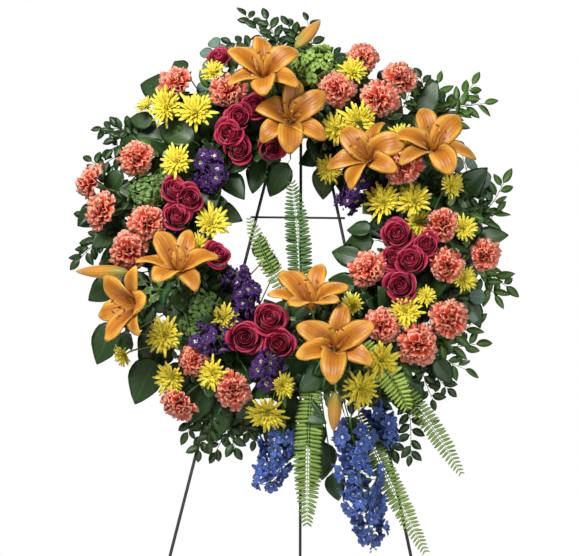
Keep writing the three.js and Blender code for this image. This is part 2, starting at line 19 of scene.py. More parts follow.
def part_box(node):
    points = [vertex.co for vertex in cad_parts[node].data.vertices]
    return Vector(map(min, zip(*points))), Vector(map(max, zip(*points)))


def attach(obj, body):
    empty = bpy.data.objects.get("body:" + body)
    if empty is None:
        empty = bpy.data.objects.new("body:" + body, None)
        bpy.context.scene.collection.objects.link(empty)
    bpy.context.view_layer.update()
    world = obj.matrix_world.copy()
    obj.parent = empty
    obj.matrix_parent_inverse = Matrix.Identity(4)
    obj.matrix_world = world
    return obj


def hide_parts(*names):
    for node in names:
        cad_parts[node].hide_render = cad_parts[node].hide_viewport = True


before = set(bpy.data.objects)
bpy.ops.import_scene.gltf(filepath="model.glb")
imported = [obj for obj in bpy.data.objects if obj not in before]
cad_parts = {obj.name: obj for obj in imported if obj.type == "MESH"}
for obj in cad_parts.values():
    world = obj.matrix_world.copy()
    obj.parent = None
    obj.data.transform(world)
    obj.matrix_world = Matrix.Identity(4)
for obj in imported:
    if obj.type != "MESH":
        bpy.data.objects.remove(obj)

Array = np.ndarray
Chance = np.random.Generator
Place = tuple[float, float, float]
Profile = Sequence[tuple[float, float]]
MM = 0.001
GOLDEN_TURN = math.pi * (3 - math.sqrt(5))
CORE = 237.0
OUTWARD = np.array([[0.0, 0.0, 1.0]])
log = logging.getLogger("wreath")


# ---------------------------------------------------------------- surfaces


@dataclass
class Surface:
    """Closed surfaces as arrays.

    points are in millimetres. blade holds for each point how far across its petal or leaf it lies (-1 to 1),
    how far along (0 at the foot to 1 at the tip) and the petal's own chance value (0 to 1).
    """

    points: Array
    quads: Array
    tris: Array
    blade: Array

    @classmethod
    def repeated(cls, points: Array, quads: Array, marks: Array, tris: Array | None = None) -> "Surface":
        """Shapes that share one pattern of faces.

        Args:
            points: (shapes, points, 3).
            quads: one shape's faces of four corners, (quads, 4).
            marks: each point's blade values, (shapes, points, 3).
            tris: one shape's faces of three corners, if it has any.

        Returns:
            All the shapes as one surface.
        """
        starts = (np.arange(len(points)) * points.shape[1])[:, None, None]
        tris = np.empty((0, 3), int) if tris is None else tris
        return cls(points.reshape(-1, 3), (quads + starts).reshape(-1, 4), (tris + starts).reshape(-1, 3),
                   marks.reshape(-1, 3))

    @staticmethod
    def joined(parts: Iterable["Surface"]) -> "Surface":
        """Puts several surfaces into one."""
        parts = list(parts)
        starts = np.cumsum([0] + [len(part.points) for part in parts[:-1]])
        shifted = [(part.points, part.quads + start, part.tris + start, part.blade)
                   for part, start in zip(parts, starts)]
        return Surface(*(np.concatenate(arrays) for arrays in zip(*shifted)))

    def copied(self, frames: Array, chance: Chance) -> "Surface":
        """Copies the surface into several places: each point p becomes frame @ p.

        Args:
            frames: the places, as 4 by 4 matrices in an array.
            chance: gives each copy its own shift of the petals' chance values.

        Returns:
            All the copies as one surface.
        """
        points = np.einsum("kij,nj->kni", frames[:, :3, :3], self.points) + frames[:, None, :3, 3]
        blade = np.tile(self.blade, (len(frames), 1, 1))
        blade[:, :, 2] = (blade[:, :, 2] * 0.6 + chance.random((len(frames), 1)) * 0.4) % 1.0
        return Surface.repeated(points, self.quads, blade, self.tris)


def unit(vectors: Array) -> Array:
    """The vectors at length one."""
    return vectors / np.maximum(np.linalg.norm(vectors, axis=-1, keepdims=True), 1e-9)


def polar(turn: Array | float, radius: Array | float, height: Array | float) -> Array:
    """Points about +Z from their turn in radians, their radius and their height."""
    return np.stack(np.broadcast_arrays(radius * np.cos(turn), radius * np.sin(turn), height), axis=-1)


def full_turn(steps: int) -> Array:
    """Even angles once round, in radians."""
    return np.linspace(0, 2 * np.pi, steps, endpoint=False)


def grid(rows: int, columns: int) -> tuple[Array, Array]:
    """Shares from foot to tip as (1, rows, 1), and places across from -1 to 1 as (1, 1, columns)."""
    return np.linspace(0, 1, rows)[None, :, None], np.linspace(-1, 1, columns)[None, None, :]


def blades(middle: Array, thickness: float, tone: Array) -> Surface:
    """Thin closed blades, such as petals and leaves.

    Each blade's faces lie half its thickness to either side of its middle surface. The thickness is greatest
    in the middle and falls to nothing at the rim, so front and back share their rim and the blade is closed.

    Args:
        middle: the middle surfaces, (blades, rows from foot to tip, columns across, 3).
        thickness: thickness at the middle.
        tone: one chance value for each blade.

    Returns:
        The closed blades.
    """
    count, rows, columns, _ = middle.shape
    s, t = grid(rows, columns)
    normal = unit(np.cross(np.gradient(middle, axis=1), np.gradient(middle, axis=2)))
    swell = 0.5 * thickness * (np.sin(np.pi * s) ** 0.5 * np.sqrt(1 - t**2))[..., None]
    back = (middle - normal * swell)[:, 1:-1, 1:-1]
    marks = np.stack(np.broadcast_arrays(t, s, tone[:, None, None]), axis=-1)
    front_index = np.arange(rows * columns).reshape(rows, columns)
    back_index = front_index.copy()
    inside = np.arange((rows - 2) * (columns - 2)).reshape(rows - 2, columns - 2)
    back_index[1:-1, 1:-1] = rows * columns + inside
    low, high = slice(None, -1), slice(1, None)
    corners = [(low, low), (high, low), (high, high), (low, high)]
    quads = np.concatenate([
        np.stack([index[corner] for corner in order], axis=-1).reshape(-1, 4)
        for index, order in ((front_index, corners), (back_index, corners[::-1]))])
    points, marks = (
        np.concatenate([front.reshape(count, -1, 3), behind.reshape(count, -1, 3)], axis=1)
        for front, behind in ((middle + normal * swell, back), (marks, marks[:, 1:-1, 1:-1])))
    return Surface.repeated(points, quads, marks)


def tubes(paths: Array, radii: Array | float, sides: int, tone: Array | float = 0.5,
          swell: Array | float = 1.0) -> Surface:
    """Closed tubes: a circle of changing radius carried along each path, with a point at either end.

    Args:
        paths: (tubes, points along, 3).
        radii: the radius at each point, of any shape that fits (tubes, points along).
        sides: points round the circle.
        tone: one chance value for each tube.
        swell: a factor on the radius, of any shape that fits (tubes, points along, sides).

    Returns:
        The tubes.
    """
    count, steps, _ = paths.shape
    tangent = unit(np.gradient(paths, axis=1))
    aside = np.eye(3)[np.argmin(np.abs(tangent.mean(axis=1)), axis=1)][:, None, :]
    side = unit(np.cross(aside, tangent))
    other = np.cross(tangent, side)
    turn = full_turn(sides)
    reach = np.broadcast_to(radii, (count, steps))[..., None] * np.broadcast_to(swell, (count, steps, sides))
    offsets = np.cos(turn)[:, None] * side[:, :, None] + np.sin(turn)[:, None] * other[:, :, None]
    rings = paths[:, :, None] + reach[..., None] * offsets
    marks = np.empty((count, steps, sides, 3))
    marks[..., 0] = np.cos(turn)
    marks[..., 1] = np.linspace(0, 1, steps)[:, None]
    marks[..., 2] = np.reshape(tone, (-1, 1, 1))
    index = np.arange(steps * sides).reshape(steps, sides)
    after = np.roll(index, -1, axis=1)
    quads = np.stack([index[:-1], after[:-1], after[1:], index[1:]], axis=-1).reshape(-1, 4)
    foot, tip = steps * sides, steps * sides + 1
    tris = np.concatenate([np.stack([np.full(sides, foot), after[0], index[0]], axis=-1),
                           np.stack([np.full(sides, tip), index[-1], after[-1]], axis=-1)])
    points = np.concatenate([rings.reshape(count, -1, 3), paths[:, [0, -1]]], axis=1)
    marks = np.concatenate([marks.reshape(count, -1, 3), marks[:, [0, -1], 0]], axis=1)
    return Surface.repeated(points, quads, marks, tris)


def rod(start: Array, end: Array, radius: float, sides: int, steps: int) -> Surface:
    """One straight tube."""
    return tubes(bows(start[None], end[None], 0.0, steps), radius, sides)


def turned(profile: Profile, sides: int, swell: Array | float = 1.0) -> Surface:
    """A closed round form about +Z: the [radius, height] profile turned round the axis."""
    radius, height = np.array(profile, float).T
    return tubes(polar(0.0, 0.0, height)[None], radius[None], sides, swell=swell)


def hoop(section: Profile, steps: int) -> Surface:
    """A closed ring: the anticlockwise [radius, height] section swept once round +Z."""
    radius, height = np.array(section, float).T
    turn = full_turn(steps)[:, None]
    marks = np.zeros((1, steps * len(radius), 3))
    marks[..., 1] = np.repeat(turn.ravel() / (2 * np.pi), len(radius))
    return looped(polar(turn, radius, height), marks)


def looped(points: Array, marks: Array) -> Surface:
    """A closed band from points (sections round a loop, points round a section, 3)."""
    index = np.arange(points.shape[0] * points.shape[1]).reshape(points.shape[:2])
    onward = np.roll(index, -1, axis=0)
    quads = np.stack([index, onward, np.roll(onward, -1, axis=1), np.roll(index, -1, axis=1)], axis=-1)
    return Surface.repeated(points.reshape(1, -1, 3), quads.reshape(-1, 4), marks)


def bows(start: Array, end: Array, bend: Array | float, steps: int) -> Array:
    """Curved paths, (paths, steps, 3): the straight line from start to end plus bend times a half sine wave.

    Args:
        start: (paths, 3).
        end: (paths, 3).
        bend: the offset at the middle, (paths, 3), or 0 for a straight path.
        steps: points along each path.

    Returns:
        The paths.
    """
    share = np.linspace(0, 1, steps)[None, :, None]
    bend = np.broadcast_to(bend, start.shape)
    return start[:, None] + (end - start)[:, None] * share + bend[:, None] * np.sin(np.pi * share)


def rounded(start: Array, knee: Array, end: Array, share: Array) -> Array:
    """Points of the quadratic curve that leaves start towards the knee and comes to end from it."""
    return (1 - share) ** 2 * start + 2 * share * (1 - share) * knee + share**2 * end


def stations(path: Array, knots: Array, stops: Array) -> tuple[Array, Array]:
    """Places and directions along one path.

    Args:
        path: (points, 3).
        knots: how far along each of the path's points lies.
        stops: how far along the wanted places lie, in the same measure.

    Returns:
        The places and the unit directions, each (stops, 3).
    """
    tangents = unit(np.gradient(path, axis=0))
    places, along = (np.stack([np.interp(stops, knots, axis) for axis in array.T], axis=-1)
                     for array in (path, tangents))
    return places, unit(along)


def frames_of(axes: Sequence[Array], places: Array, size: Array | float) -> Array:
    """Frames, (frames, 4, 4), from their three axes, their places and a size factor."""
    frames = np.zeros((len(places), 4, 4))
    frames[:, :3, :3] = np.broadcast_to(size, len(places))[:, None, None] * np.stack(axes, axis=-1)
    frames[:, :3, 3] = places
    frames[:, 3, 3] = 1
    return frames


def headings(places: Array, facing: Array, turn: Array | float = 0.0, size: Array | float = 1.0) -> Array:
    """Frames that stand a head made about +Z at each place, by the shortest turn from +Z to where it faces.

    Args:
        places: (heads, 3).
        facing: (heads, 3), where each head's +Z points.
        turn: each head's turn about its own axis, in radians.
        size: each head's size factor.

    Returns:
        (heads, 4, 4).
    """
    a, b, c = unit(facing).T
    share = 1 / np.maximum(1 + c, 1e-6)
    x = np.stack([1 - a * a * share, -a * b * share, -a], axis=-1)
    y = np.stack([-a * b * share, 1 - b * b * share, -b], axis=-1)
    turn = np.broadcast_to(turn, len(places))[:, None]
    cosine, sine = np.cos(turn), np.sin(turn)
    axes = [cosine * x + sine * y, cosine * y - sine * x, np.stack([a, b, c], axis=-1)]
    return frames_of(axes, places, size)


def layings(places: Array, along: Array, face: Array, size: Array | float = 1.0) -> Array:
    """Frames that lay a blade made along +X, with its upper side to +Z, along a direction at each place."""
    x = unit(along)
    z = unit(face - x * np.sum(face * x, axis=-1, keepdims=True))
    return frames_of([x, np.cross(z, x), z], places, size)


def scattered(templates: list[Surface], frames: Array, chance: Chance) -> Surface:
    """Copies of several templates, dealt out over the frames in turn."""
    count = min(len(templates), len(frames))
    return Surface.joined([templates[i].copied(frames[i::count], chance) for i in range(count)])


def chance_for(name: str) -> Chance:
    """The random source that belongs to a name, always the same."""
    return np.random.default_rng(list(name.encode()))


# ---------------------------------------------------------------- places


@dataclass(frozen=True)
class RingAxes:
    """The ring's own axes: across, up the slope and out of the ring, from the middle of its back."""

    origin: Array
    axes: Array

    @classmethod
    def of_tray(cls) -> "RingAxes":
        """Reads the axes from the tray: its flattest direction is out, and its back is the lowest plane."""
        points = corners_of("ring_tray")
        middle = (points.max(axis=0) + points.min(axis=0)) / 2
        out = np.linalg.svd(points - points.mean(axis=0), full_matrices=False)[2][2]
        out = -out if out[1] > 0 else out
        across = unit(np.array([1.0, 0, 0]) - out * out[0])
        origin = middle + out * np.min((points - middle) @ out)
        return cls(origin, np.stack([across, np.cross(out, across), out]))

    def to_row(self, points: Array) -> Array:
        """Points in the ring's axes, in millimetres, as row points in metres."""
        return (self.origin + points @ self.axes) * MM

    def from_row(self, points: Array) -> Array:
        """Row points in metres as points in the ring's axes, in millimetres."""
        return (points / MM - self.origin) @ self.axes.T


@dataclass(frozen=True)
class Crown:
    """The domed surface of the flower heads: half an ellipse over the ring, level past its edges."""

    base: float = 38.0
    rise: float = 88.0
    half: float = 150.0
    edge: float = 0.93

    def places(self, heads: Array) -> Array:
        """The points of heads given as [across, up, lift]."""
        height = self.base + self.rise * np.sqrt(1 - self._share(heads) ** 2) + heads[:, 2]
        return np.stack([heads[:, 0], heads[:, 1], height], axis=-1)

    def facing(self, heads: Array) -> Array:
        """The crown's outward directions at the heads."""
        share = self._share(heads)[:, None]
        outward = unit(heads[:, :2]) * share / self.half
        return unit(np.concatenate([outward, np.sqrt(1 - share**2) / self.rise], axis=1))

    def _share(self, heads: Array) -> Array:
        """How far across the crown each head lies, -1 at the hole's side to 1 at the outer side."""
        return np.clip((np.hypot(heads[:, 0], heads[:, 1]) - CORE) / self.half, -self.edge, self.edge)


def corners_of(node: str) -> Array:
    """The corners of a node's solid in row millimetres."""
    return np.array([vertex.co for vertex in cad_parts[node].data.vertices]) / MM


def on_ring(clock: float, radius: float, height: float) -> Array:
    """A point at a clock angle in degrees, anticlockwise from three o'clock."""
    return polar(math.radians(clock), radius, height)


def towards(clock: float, tilt: float) -> Array:
    """The direction that leans by tilt from straight out towards a clock angle, in degrees."""
    return on_ring(clock, math.sin(math.radians(tilt)), math.cos(math.radians(tilt)))


# ---------------------------------------------------------------- finishes


def linear(colour: str) -> tuple[float, ...]:
    """An sRGB hex colour as linear red, green and blue, and full alpha."""
    channels = [int(colour[i:i + 2], 16) / 255 for i in (1, 3, 5)]
    return (*(c / 12.92 if c <= 0.04045 else ((c + 0.055) / 1.055) ** 2.4 for c in channels), 1.0)


@dataclass
class Shading:
    """A node tree, with a short call for each kind of node that the finishes share."""

    tree: bpy.types.NodeTree

    def __post_init__(self) -> None:
        """Empties the tree."""
        self.tree.nodes.clear()

    def add(self, kind: str, inputs: dict[Any, Any], **settings: Any) -> bpy.types.Node:
        """Adds a node.

        Args:
            kind: the node's type name, without its first words.
            inputs: each input's name or number, with a value, a hex colour or the socket that feeds it.
            **settings: the node's own settings.

        Returns:
            The node.
        """
        node = self.tree.nodes.new(f"ShaderNode{kind}")
        for name, value in settings.items():
            setattr(node, name, value)
        for key, value in inputs.items():
            if isinstance(value, bpy.types.NodeSocket):
                self.tree.links.new(value, node.inputs[key])
            else:
                node.inputs[key].default_value = linear(value) if isinstance(value, str) else value
        return node

    def math(self, operation: str, *values: Any) -> bpy.types.NodeSocket:
        """The result of an operation on up to three values."""
        return self.add("Math", dict(enumerate(values)), operation=operation).outputs[0]

    def ranged(self, *values: Any, kind: str = "LINEAR") -> bpy.types.NodeSocket:
        """A value carried from the range of the next two to that of the last two, and held there."""
        return self.add("MapRange", dict(enumerate(values)), interpolation_type=kind).outputs[0]

    def mixed(self, share: Any, first: Any, second: Any) -> bpy.types.NodeSocket:
        """The colour at a share of the way from the first to the second."""
        return self.add("Mix", {0: share, 6: first, 7: second}, data_type="RGBA").outputs[2]

    def noise(self, grain: float, detail: float, roughness: float = 0.5) -> bpy.types.NodeSocket:
        """Noise in the piece's own place, whose grain is about this many millimetres."""
        place = self.add("TexCoord", {}).outputs["Object"]
        return self.add("TexNoise", {"Vector": place, "Scale": 1 / (grain * MM), "Detail": detail,
                                     "Roughness": roughness}).outputs["Fac"]

    def marks(self) -> Iterable[bpy.types.NodeSocket]:
        """How far across and along its petal or leaf a point lies, and the petal's chance value."""
        marks = self.add("Attribute", {}, attribute_name="blade")
        return self.add("SeparateXYZ", {0: marks.outputs["Vector"]}).outputs

    def toned(self, colour: Any, tone: Any, mottle: Any, variety: float) -> bpy.types.NodeSocket:
        """The colour made lighter or darker by a share of variety, from petal to petal and patch to patch."""
        value = self.ranged(self.math("ADD", tone, mottle), 0.3, 1.7, 1 - variety, 1 + variety)
        return self.add("HueSaturation", {"Value": value, "Color": colour}).outputs[0]

    def close(self, colour: Any, height: Any, relief: float, depth: float, settings: dict[str, Any]) -> None:
        """Adds the shader, with a bump of a depth in millimetres, and the output."""
        bump = self.add("Bump", {"Height": height, "Strength": relief, "Distance": depth * MM})
        shader = self.add("BsdfPrincipled", {"Base Color": colour, "Normal": bump.outputs[0], **settings})
        self.add("OutputMaterial", {0: shader.outputs[0]})


@dataclass(frozen=True)
class PetalFinish:
    """A petal: living cells that scatter light, with a soft sheen.

    The colour runs from the heart at the petal's foot through its body to its rim. Fine veins run its length.
    In the lily and the rose, the darker heart is painted shade and the paler rim a painted highlight.
    """

    name: str
    heart: str
    body: str
    rim: str
    vein: str
    heart_end: float = 0.45
    rim_start: float = 0.8
    edge_start: float = 0.75
    edge_share: float = 0.6
    vein_count: float = 5.0
    vein_share: float = 0.3
    grain: float = 4.0
    variety: float = 0.14
    roughness: float = 0.5
    sheen: float = 0.05
    relief: float = 0.5

    def build(self, shading: Shading) -> None:
        """Adds the nodes. The veins are a sine across the petal, shaken by the mottle."""
        across, along, tone = shading.marks()
        mottle = shading.noise(self.grain, 3.0, 0.6)
        # In the lily and the rose, heart lays painted shade at the foot, and rim and side lay a painted
        # highlight at the tip and edges.
        heart = shading.ranged(along, 0.0, self.heart_end, 1.0, 0.0, kind="SMOOTHSTEP")
        rim = shading.ranged(along, self.rim_start, 1.0, 0.0, 1.0, kind="SMOOTHSTEP")
        side = shading.ranged(shading.math("ABSOLUTE", across), self.edge_start, 1.0, 0.0, self.edge_share,
                              kind="SMOOTHSTEP")
        wave = shading.math("SINE", shading.math("MULTIPLY_ADD", across, self.vein_count * math.pi, mottle))
        colour = shading.mixed(heart, self.body, self.heart)
        colour = shading.mixed(shading.math("MAXIMUM", rim, side), colour, self.rim)
        colour = shading.mixed(shading.ranged(wave, 0.2, 1.0, 0.0, self.vein_share), colour, self.vein)
        height = shading.math("MULTIPLY_ADD", wave, 0.5, mottle)
        shading.close(shading.toned(colour, tone, mottle, self.variety), height, self.relief, 0.3, {
            "Roughness": self.roughness, "Sheen Weight": self.sheen, "Subsurface Weight": 0.12,
            "Subsurface Scale": 2 * MM, "IOR": 1.42})


@dataclass(frozen=True)
class LeafFinish:
    """A leaf with a waxy skin: a pale midrib, side veins that slant forward, and for some a cream margin.

    The margin starts at a share of the way from the midrib to the edge. From 2.0 on there is none.
    """

    name: str
    body: str
    vein: str
    margin: str = "#DEDDA8"
    margin_start: float = 2.0
    vein_count: float = 9.0
    vein_share: float = 0.3
    grain: float = 9.0
    variety: float = 0.2
    roughness: float = 0.44
    coat: float = 0.06
    relief: float = 0.5

    def build(self, shading: Shading) -> None:
        """Adds the nodes. The side veins are a sine along the leaf, drawn forward towards its edge."""
        across, along, tone = shading.marks()
        mottle = shading.noise(self.grain, 3.0)
        edge = shading.math("ABSOLUTE", across)
        slant = shading.math("MULTIPLY_ADD", edge, -0.35, along)
        wave = shading.math("SINE", shading.math("MULTIPLY", slant, self.vein_count * 2 * math.pi))
        vein = shading.math("MAXIMUM", shading.ranged(edge, 0.03, 0.11, 1.0, 0.0),
                            shading.ranged(wave, 0.7, 1.0, 0.0, 0.5))
        colour = shading.mixed(shading.math("MULTIPLY", vein, self.vein_share), self.body, self.vein)
        ragged = shading.math("MULTIPLY_ADD", mottle, 0.5, edge)
        border = shading.ranged(ragged, self.margin_start, self.margin_start + 0.12, 0.0, 1.0)
        colour = shading.toned(shading.mixed(border, colour, self.margin), tone, mottle, self.variety)
        shading.close(colour, shading.math("MULTIPLY_ADD", vein, -1.0, mottle), self.relief, 0.4, {
            "Roughness": self.roughness, "Coat Weight": self.coat, "Coat Roughness": 0.25, "IOR": 1.45})


@dataclass(frozen=True)
class GrainFinish:
    """A made or plain surface: one body colour, a darker tone in patches and a fine relief."""

    name: str
    body: str
    patch: str
    grain: float
    patch_grain: float
    roughness: float
    relief: float

    def build(self, shading: Shading) -> None:
        """Adds the nodes."""
        patch = shading.ranged(shading.noise(self.patch_grain, 4.0), 0.35, 0.7, 0.0, 1.0)
        shading.close(shading.mixed(patch, self.body, self.patch), shading.noise(self.grain, 2.0),
                      self.relief,
                      0.25 * self.grain, {"Roughness": self.roughness})


class Finish(Enum):
    """Every finish on the object and in the studio."""

    # Asiatic lily tepal: thick and waxy, clear orange with a ribbed midline.
    # Its paler rims and sides are a painted highlight, and its darker foot is painted shade towards the
    # throat.
    LILY = PetalFinish("lily tepal", "#7C3408", "#AE6A10", "#E0A63A", "#8E460C", 0.6, 0.75, 0.25, 0.9, 7,
                       0.32, 14,
                       0.25, 0.45, relief=0.8)
    # Lily filament and style: smooth, the tepals' own orange and a little paler.
    FILAMENT = GrainFinish("lily filament", "#D9963E", "#B87222", 1.0, 6.0, 0.4, 0.2)
    # Lily pollen sacs: dry and rust brown.
    POLLEN = GrainFinish("lily pollen", "#98511A", "#6E3410", 0.6, 2.0, 0.85, 0.6)
    # Lily bud: smooth skin that turns from green at the foot to orange.
    BUD = PetalFinish("lily bud skin", "#7E8A34", "#C98A32", "#D9A04A", "#8C6A22", 0.55, vein_count=6,
                      vein_share=0.45, roughness=0.4)
    # Carnation petal: thin and papery, coral with redder streaks at its foot and a pale toothed rim.
    CARNATION = PetalFinish("carnation petal", "#AE2A1A", "#DC5F42", "#F8BCA0", "#C83A26", 0.8, 0.84, 0.88,
                            vein_share=0.5, roughness=0.65, variety=0.2)
    # Spray rose petal: velvety magenta. Its dark heart is painted shade in the folds, deep between the
    # petals, and its paler rim is a painted highlight on the rolled edges.
    ROSE = PetalFinish("rose petal", "#4E031A", "#A21238", "#BC2E58", "#800A2C", 0.85, 0.88, 0.92,
                       vein_share=0.15, sheen=0.08, variety=0.18)
    # Chrysanthemum ray: bright yellow, greener at its foot.
    CHRYSANTHEMUM = PetalFinish("chrysanthemum ray", "#A2941C", "#E6D02C", "#F3E45C", "#BFA81E", 0.6,
                                vein_count=3,
                                vein_share=0.35, roughness=0.55, variety=0.2)
    # Chrysanthemum eye: packed florets, olive yellow.
    EYE = GrainFinish("chrysanthemum eye", "#938E26", "#5E6A20", 0.9, 2.5, 0.8, 0.9)
    # Stock petal: crumpled and violet, with a pale throat.
    STOCK = PetalFinish("stock petal", "#E4DFC6", "#421A62", "#643488", "#2C0C48", 0.42, 0.85, roughness=0.6,
                        variety=0.3)
    # Stock bud and throat: pale green, nearly white.
    STOCK_EYE = GrainFinish("stock throat", "#E6E8C4", "#B9C98A", 1.0, 3.0, 0.6, 0.4)
    # Hydrangea sepal: lime green, a little paler at the rim.
    HYDRANGEA = PetalFinish("hydrangea sepal", "#6B8630", "#8EAE48", "#BFD57C", "#74923A", variety=0.32)
    # Older hydrangea sepal: duller and greyer green.
    OLD_HYDRANGEA = PetalFinish("old hydrangea sepal", "#486A2C", "#688A42", "#98B070", "#527434",
                                roughness=0.55,
                                variety=0.35)
    # Delphinium sepal: mid blue with violet-blue depths.
    DELPHINIUM = PetalFinish("delphinium sepal", "#3C3C88", "#3C5AA0", "#7E9CD8", "#24387A", vein_share=0.35,
                             variety=0.42)
    # The small pale petals in a delphinium floret's eye.
    BEE = GrainFinish("delphinium bee", "#EEF0F6", "#C9D2EC", 1.0, 3.0, 0.6, 0.4)
    # Stem, calyx and green skin: smooth fresh green.
    STEM = GrainFinish("flower stem", "#6E8F45", "#4E7434", 1.5, 12.0, 0.5, 0.25)
    # Leafy twig: thin brown-green bark.
    TWIG = GrainFinish("leaf twig", "#5B4A2C", "#4C5A2A", 1.2, 8.0, 0.7, 0.5)
    # Salal leaf: leathery and dark, with clear veins.
    SALAL = LeafFinish("salal leaf", "#233E17", "#5F8040", vein_count=7, vein_share=0.16)
    # Huckleberry and myrtle leaf: small, thick and glossy.
    SMALL_LEAF = LeafFinish("small glossy leaf", "#27401A", "#5E7E3C", vein_share=0.2, variety=0.28,
                            roughness=0.38)
    # Young shoot leaf: thin, fresh and a little brighter.
    SHOOT_LEAF = LeafFinish("young shoot leaf", "#436626", "#8AA858", vein_share=0.25, variety=0.25,
                            roughness=0.36)
    # Silver-dollar eucalyptus leaf: dusty grey green with a bloom of wax.
    EUCALYPTUS = LeafFinish("eucalyptus leaf", "#5E7768", "#8CA092", vein_share=0.4, roughness=0.62, coat=0.0,
                            variety=0.12)
    # Variegated pittosporum leaf: grey green with a cream margin.
    PITTOSPORUM = LeafFinish("pittosporum leaf", "#5C8048", "#A2B583", margin_start=0.95, roughness=0.4)
    # Sword fern pinna: thin, fresh and satin.
    FERN = LeafFinish("fern pinna", "#6E8C36", "#B4C874", vein_count=8, vein_share=0.4, roughness=0.5,
                      coat=0.1)
    # Fern pinna in painted shade: the fern's green made deeper for the frond that lies shaded in the ring's
    # hole.
    DEEP_FERN = LeafFinish("deep fern pinna", "#41662C", "#86A45C", vein_count=8, vein_share=0.4,
                           roughness=0.5,
                           coat=0.1)
    # Young fern pinna: pale lime.
    YOUNG_FERN = LeafFinish("young fern pinna", "#A6C44E", "#DCE89C", vein_count=8, vein_share=0.4,
                            roughness=0.5,
                            coat=0.05)
    # Easel wire: drawn steel, dipped in dark green enamel that levels to a gloss.
    ENAMEL = GrainFinish("enamelled wire", "#151A16", "#1E241F", 2.0, 30.0, 0.45, 0.15)
    # Tray: moulded polypropylene with a faint texture.
    TRAY = GrainFinish("tray plastic", "#24422A", "#1E3823", 0.8, 40.0, 0.5, 0.3)
    # Floral foam: fine open cells that crush to a darker green.
    FOAM = GrainFinish("floral foam", "#3C6A37", "#2A4E27", 0.7, 14.0, 0.95, 1.0)
    # Tie: ribbed nylon, drawn tight.
    TIE = GrainFinish("nylon tie", "#1F2C1E", "#17221A", 1.0, 10.0, 0.45, 0.3)
    # Studio floor: matt white board.
    FLOOR = GrainFinish("studio floor", "#F2F1EE", "#ECEBE7", 3.0, 300.0, 0.8, 0.05)


class Palette:
    """Builds each finish once and hands it out."""

    def __init__(self) -> None:
        """Starts with no material built."""
        self._built: dict[Finish, bpy.types.Material] = {}

    def material(self, finish: Finish) -> bpy.types.Material:
        """The finish's material."""
        if finish not in self._built:
            material = bpy.data.materials.new(finish.value.name)
            material.use_nodes = True
            finish.value.build(Shading(material.node_tree))
            self._built[finish] = material
        return self._built[finish]


# ---------------------------------------------------------------- making pieces


def mesh_of(name: str, surface: Surface, points: Array) -> bpy.types.Mesh:
    """Puts a surface's faces and marks into a mesh.

    Args:
        name: the mesh's name.
        surface: its faces and marks.
        points: its points in metres.

    Returns:
        The mesh, shaded smooth.
    """
    mesh = bpy.data.meshes.new(name)
    corners = np.concatenate([surface.quads.ravel(), surface.tris.ravel()]).astype(np.int32)
    sizes = np.repeat([4, 3], [len(surface.quads), len(surface.tris)]).astype(np.int32)
    mesh.vertices.add(len(points))
    mesh.vertices.foreach_set("co", points.astype(np.float32).ravel())
    mesh.loops.add(len(corners))
    mesh.loops.foreach_set("vertex_index", corners)
    mesh.polygons.add(len(sizes))
    mesh.polygons.foreach_set("loop_start", (np.cumsum(sizes) - sizes).astype(np.int32))
    mesh.polygons.foreach_set("loop_total", sizes)
    mesh.polygons.foreach_set("use_smooth", np.ones(len(sizes), bool))
    marks = mesh.attributes.new("blade", "FLOAT_VECTOR", "POINT")
    marks.data.foreach_set("vector", surface.blade.astype(np.float32).ravel())
    mesh.update(calc_edges=True)
    mesh.validate()
    return mesh


@dataclass(frozen=True)
class Planter:
    """Makes the curved stems from the foam to the heads.

    A stem's cut end is either in the foam's top, over the middle of the ring's width, or in the foam's side.
    """

    top_height: float = 26.0
    side_radius: float = 258.0
    side_height: float = 21.0
    stem: float = 2.4
    branch: float = 1.7
    fork: float = 0.72
    lone_bend: float = 0.5
    longest_curve: float = 30.0

    def upright_foot(self, clock: float) -> Array:
        """The cut end of a stem that stands in the foam's top."""
        return on_ring(clock, CORE, self.top_height)

    def side_foot(self, clock: float) -> Array:
        """The cut end of a stem that enters through the foam's side."""
        return on_ring(clock, self.side_radius, self.side_height)

    def stalks(self, foot: Array, necks: Array, facing: Array) -> Surface:
        """A stem to a fork, and a branch on to each neck that arrives along the head's own axis.

        Args:
            foot: the cut end.
            necks: where each head begins, (heads, 3).
            facing: where each head faces, (heads, 3).

        Returns:
            The stem and its branches.
        """
        fork = foot + (necks.mean(axis=0) - foot) * (self.fork if len(necks) > 1 else self.lone_bend)
        reach = 0.45 * np.linalg.norm(necks - fork, axis=1, keepdims=True)
        knees = necks - unit(facing) * np.minimum(reach, self.longest_curve)
        paths = rounded(fork, knees[:, None], necks[:, None], np.linspace(0, 1, 10)[None, :, None])
        branches = tubes(paths, self.branch, 7, np.linspace(0, 1, len(necks)))
        return Surface.joined([rod(foot, fork, self.stem, 8, 6), branches])


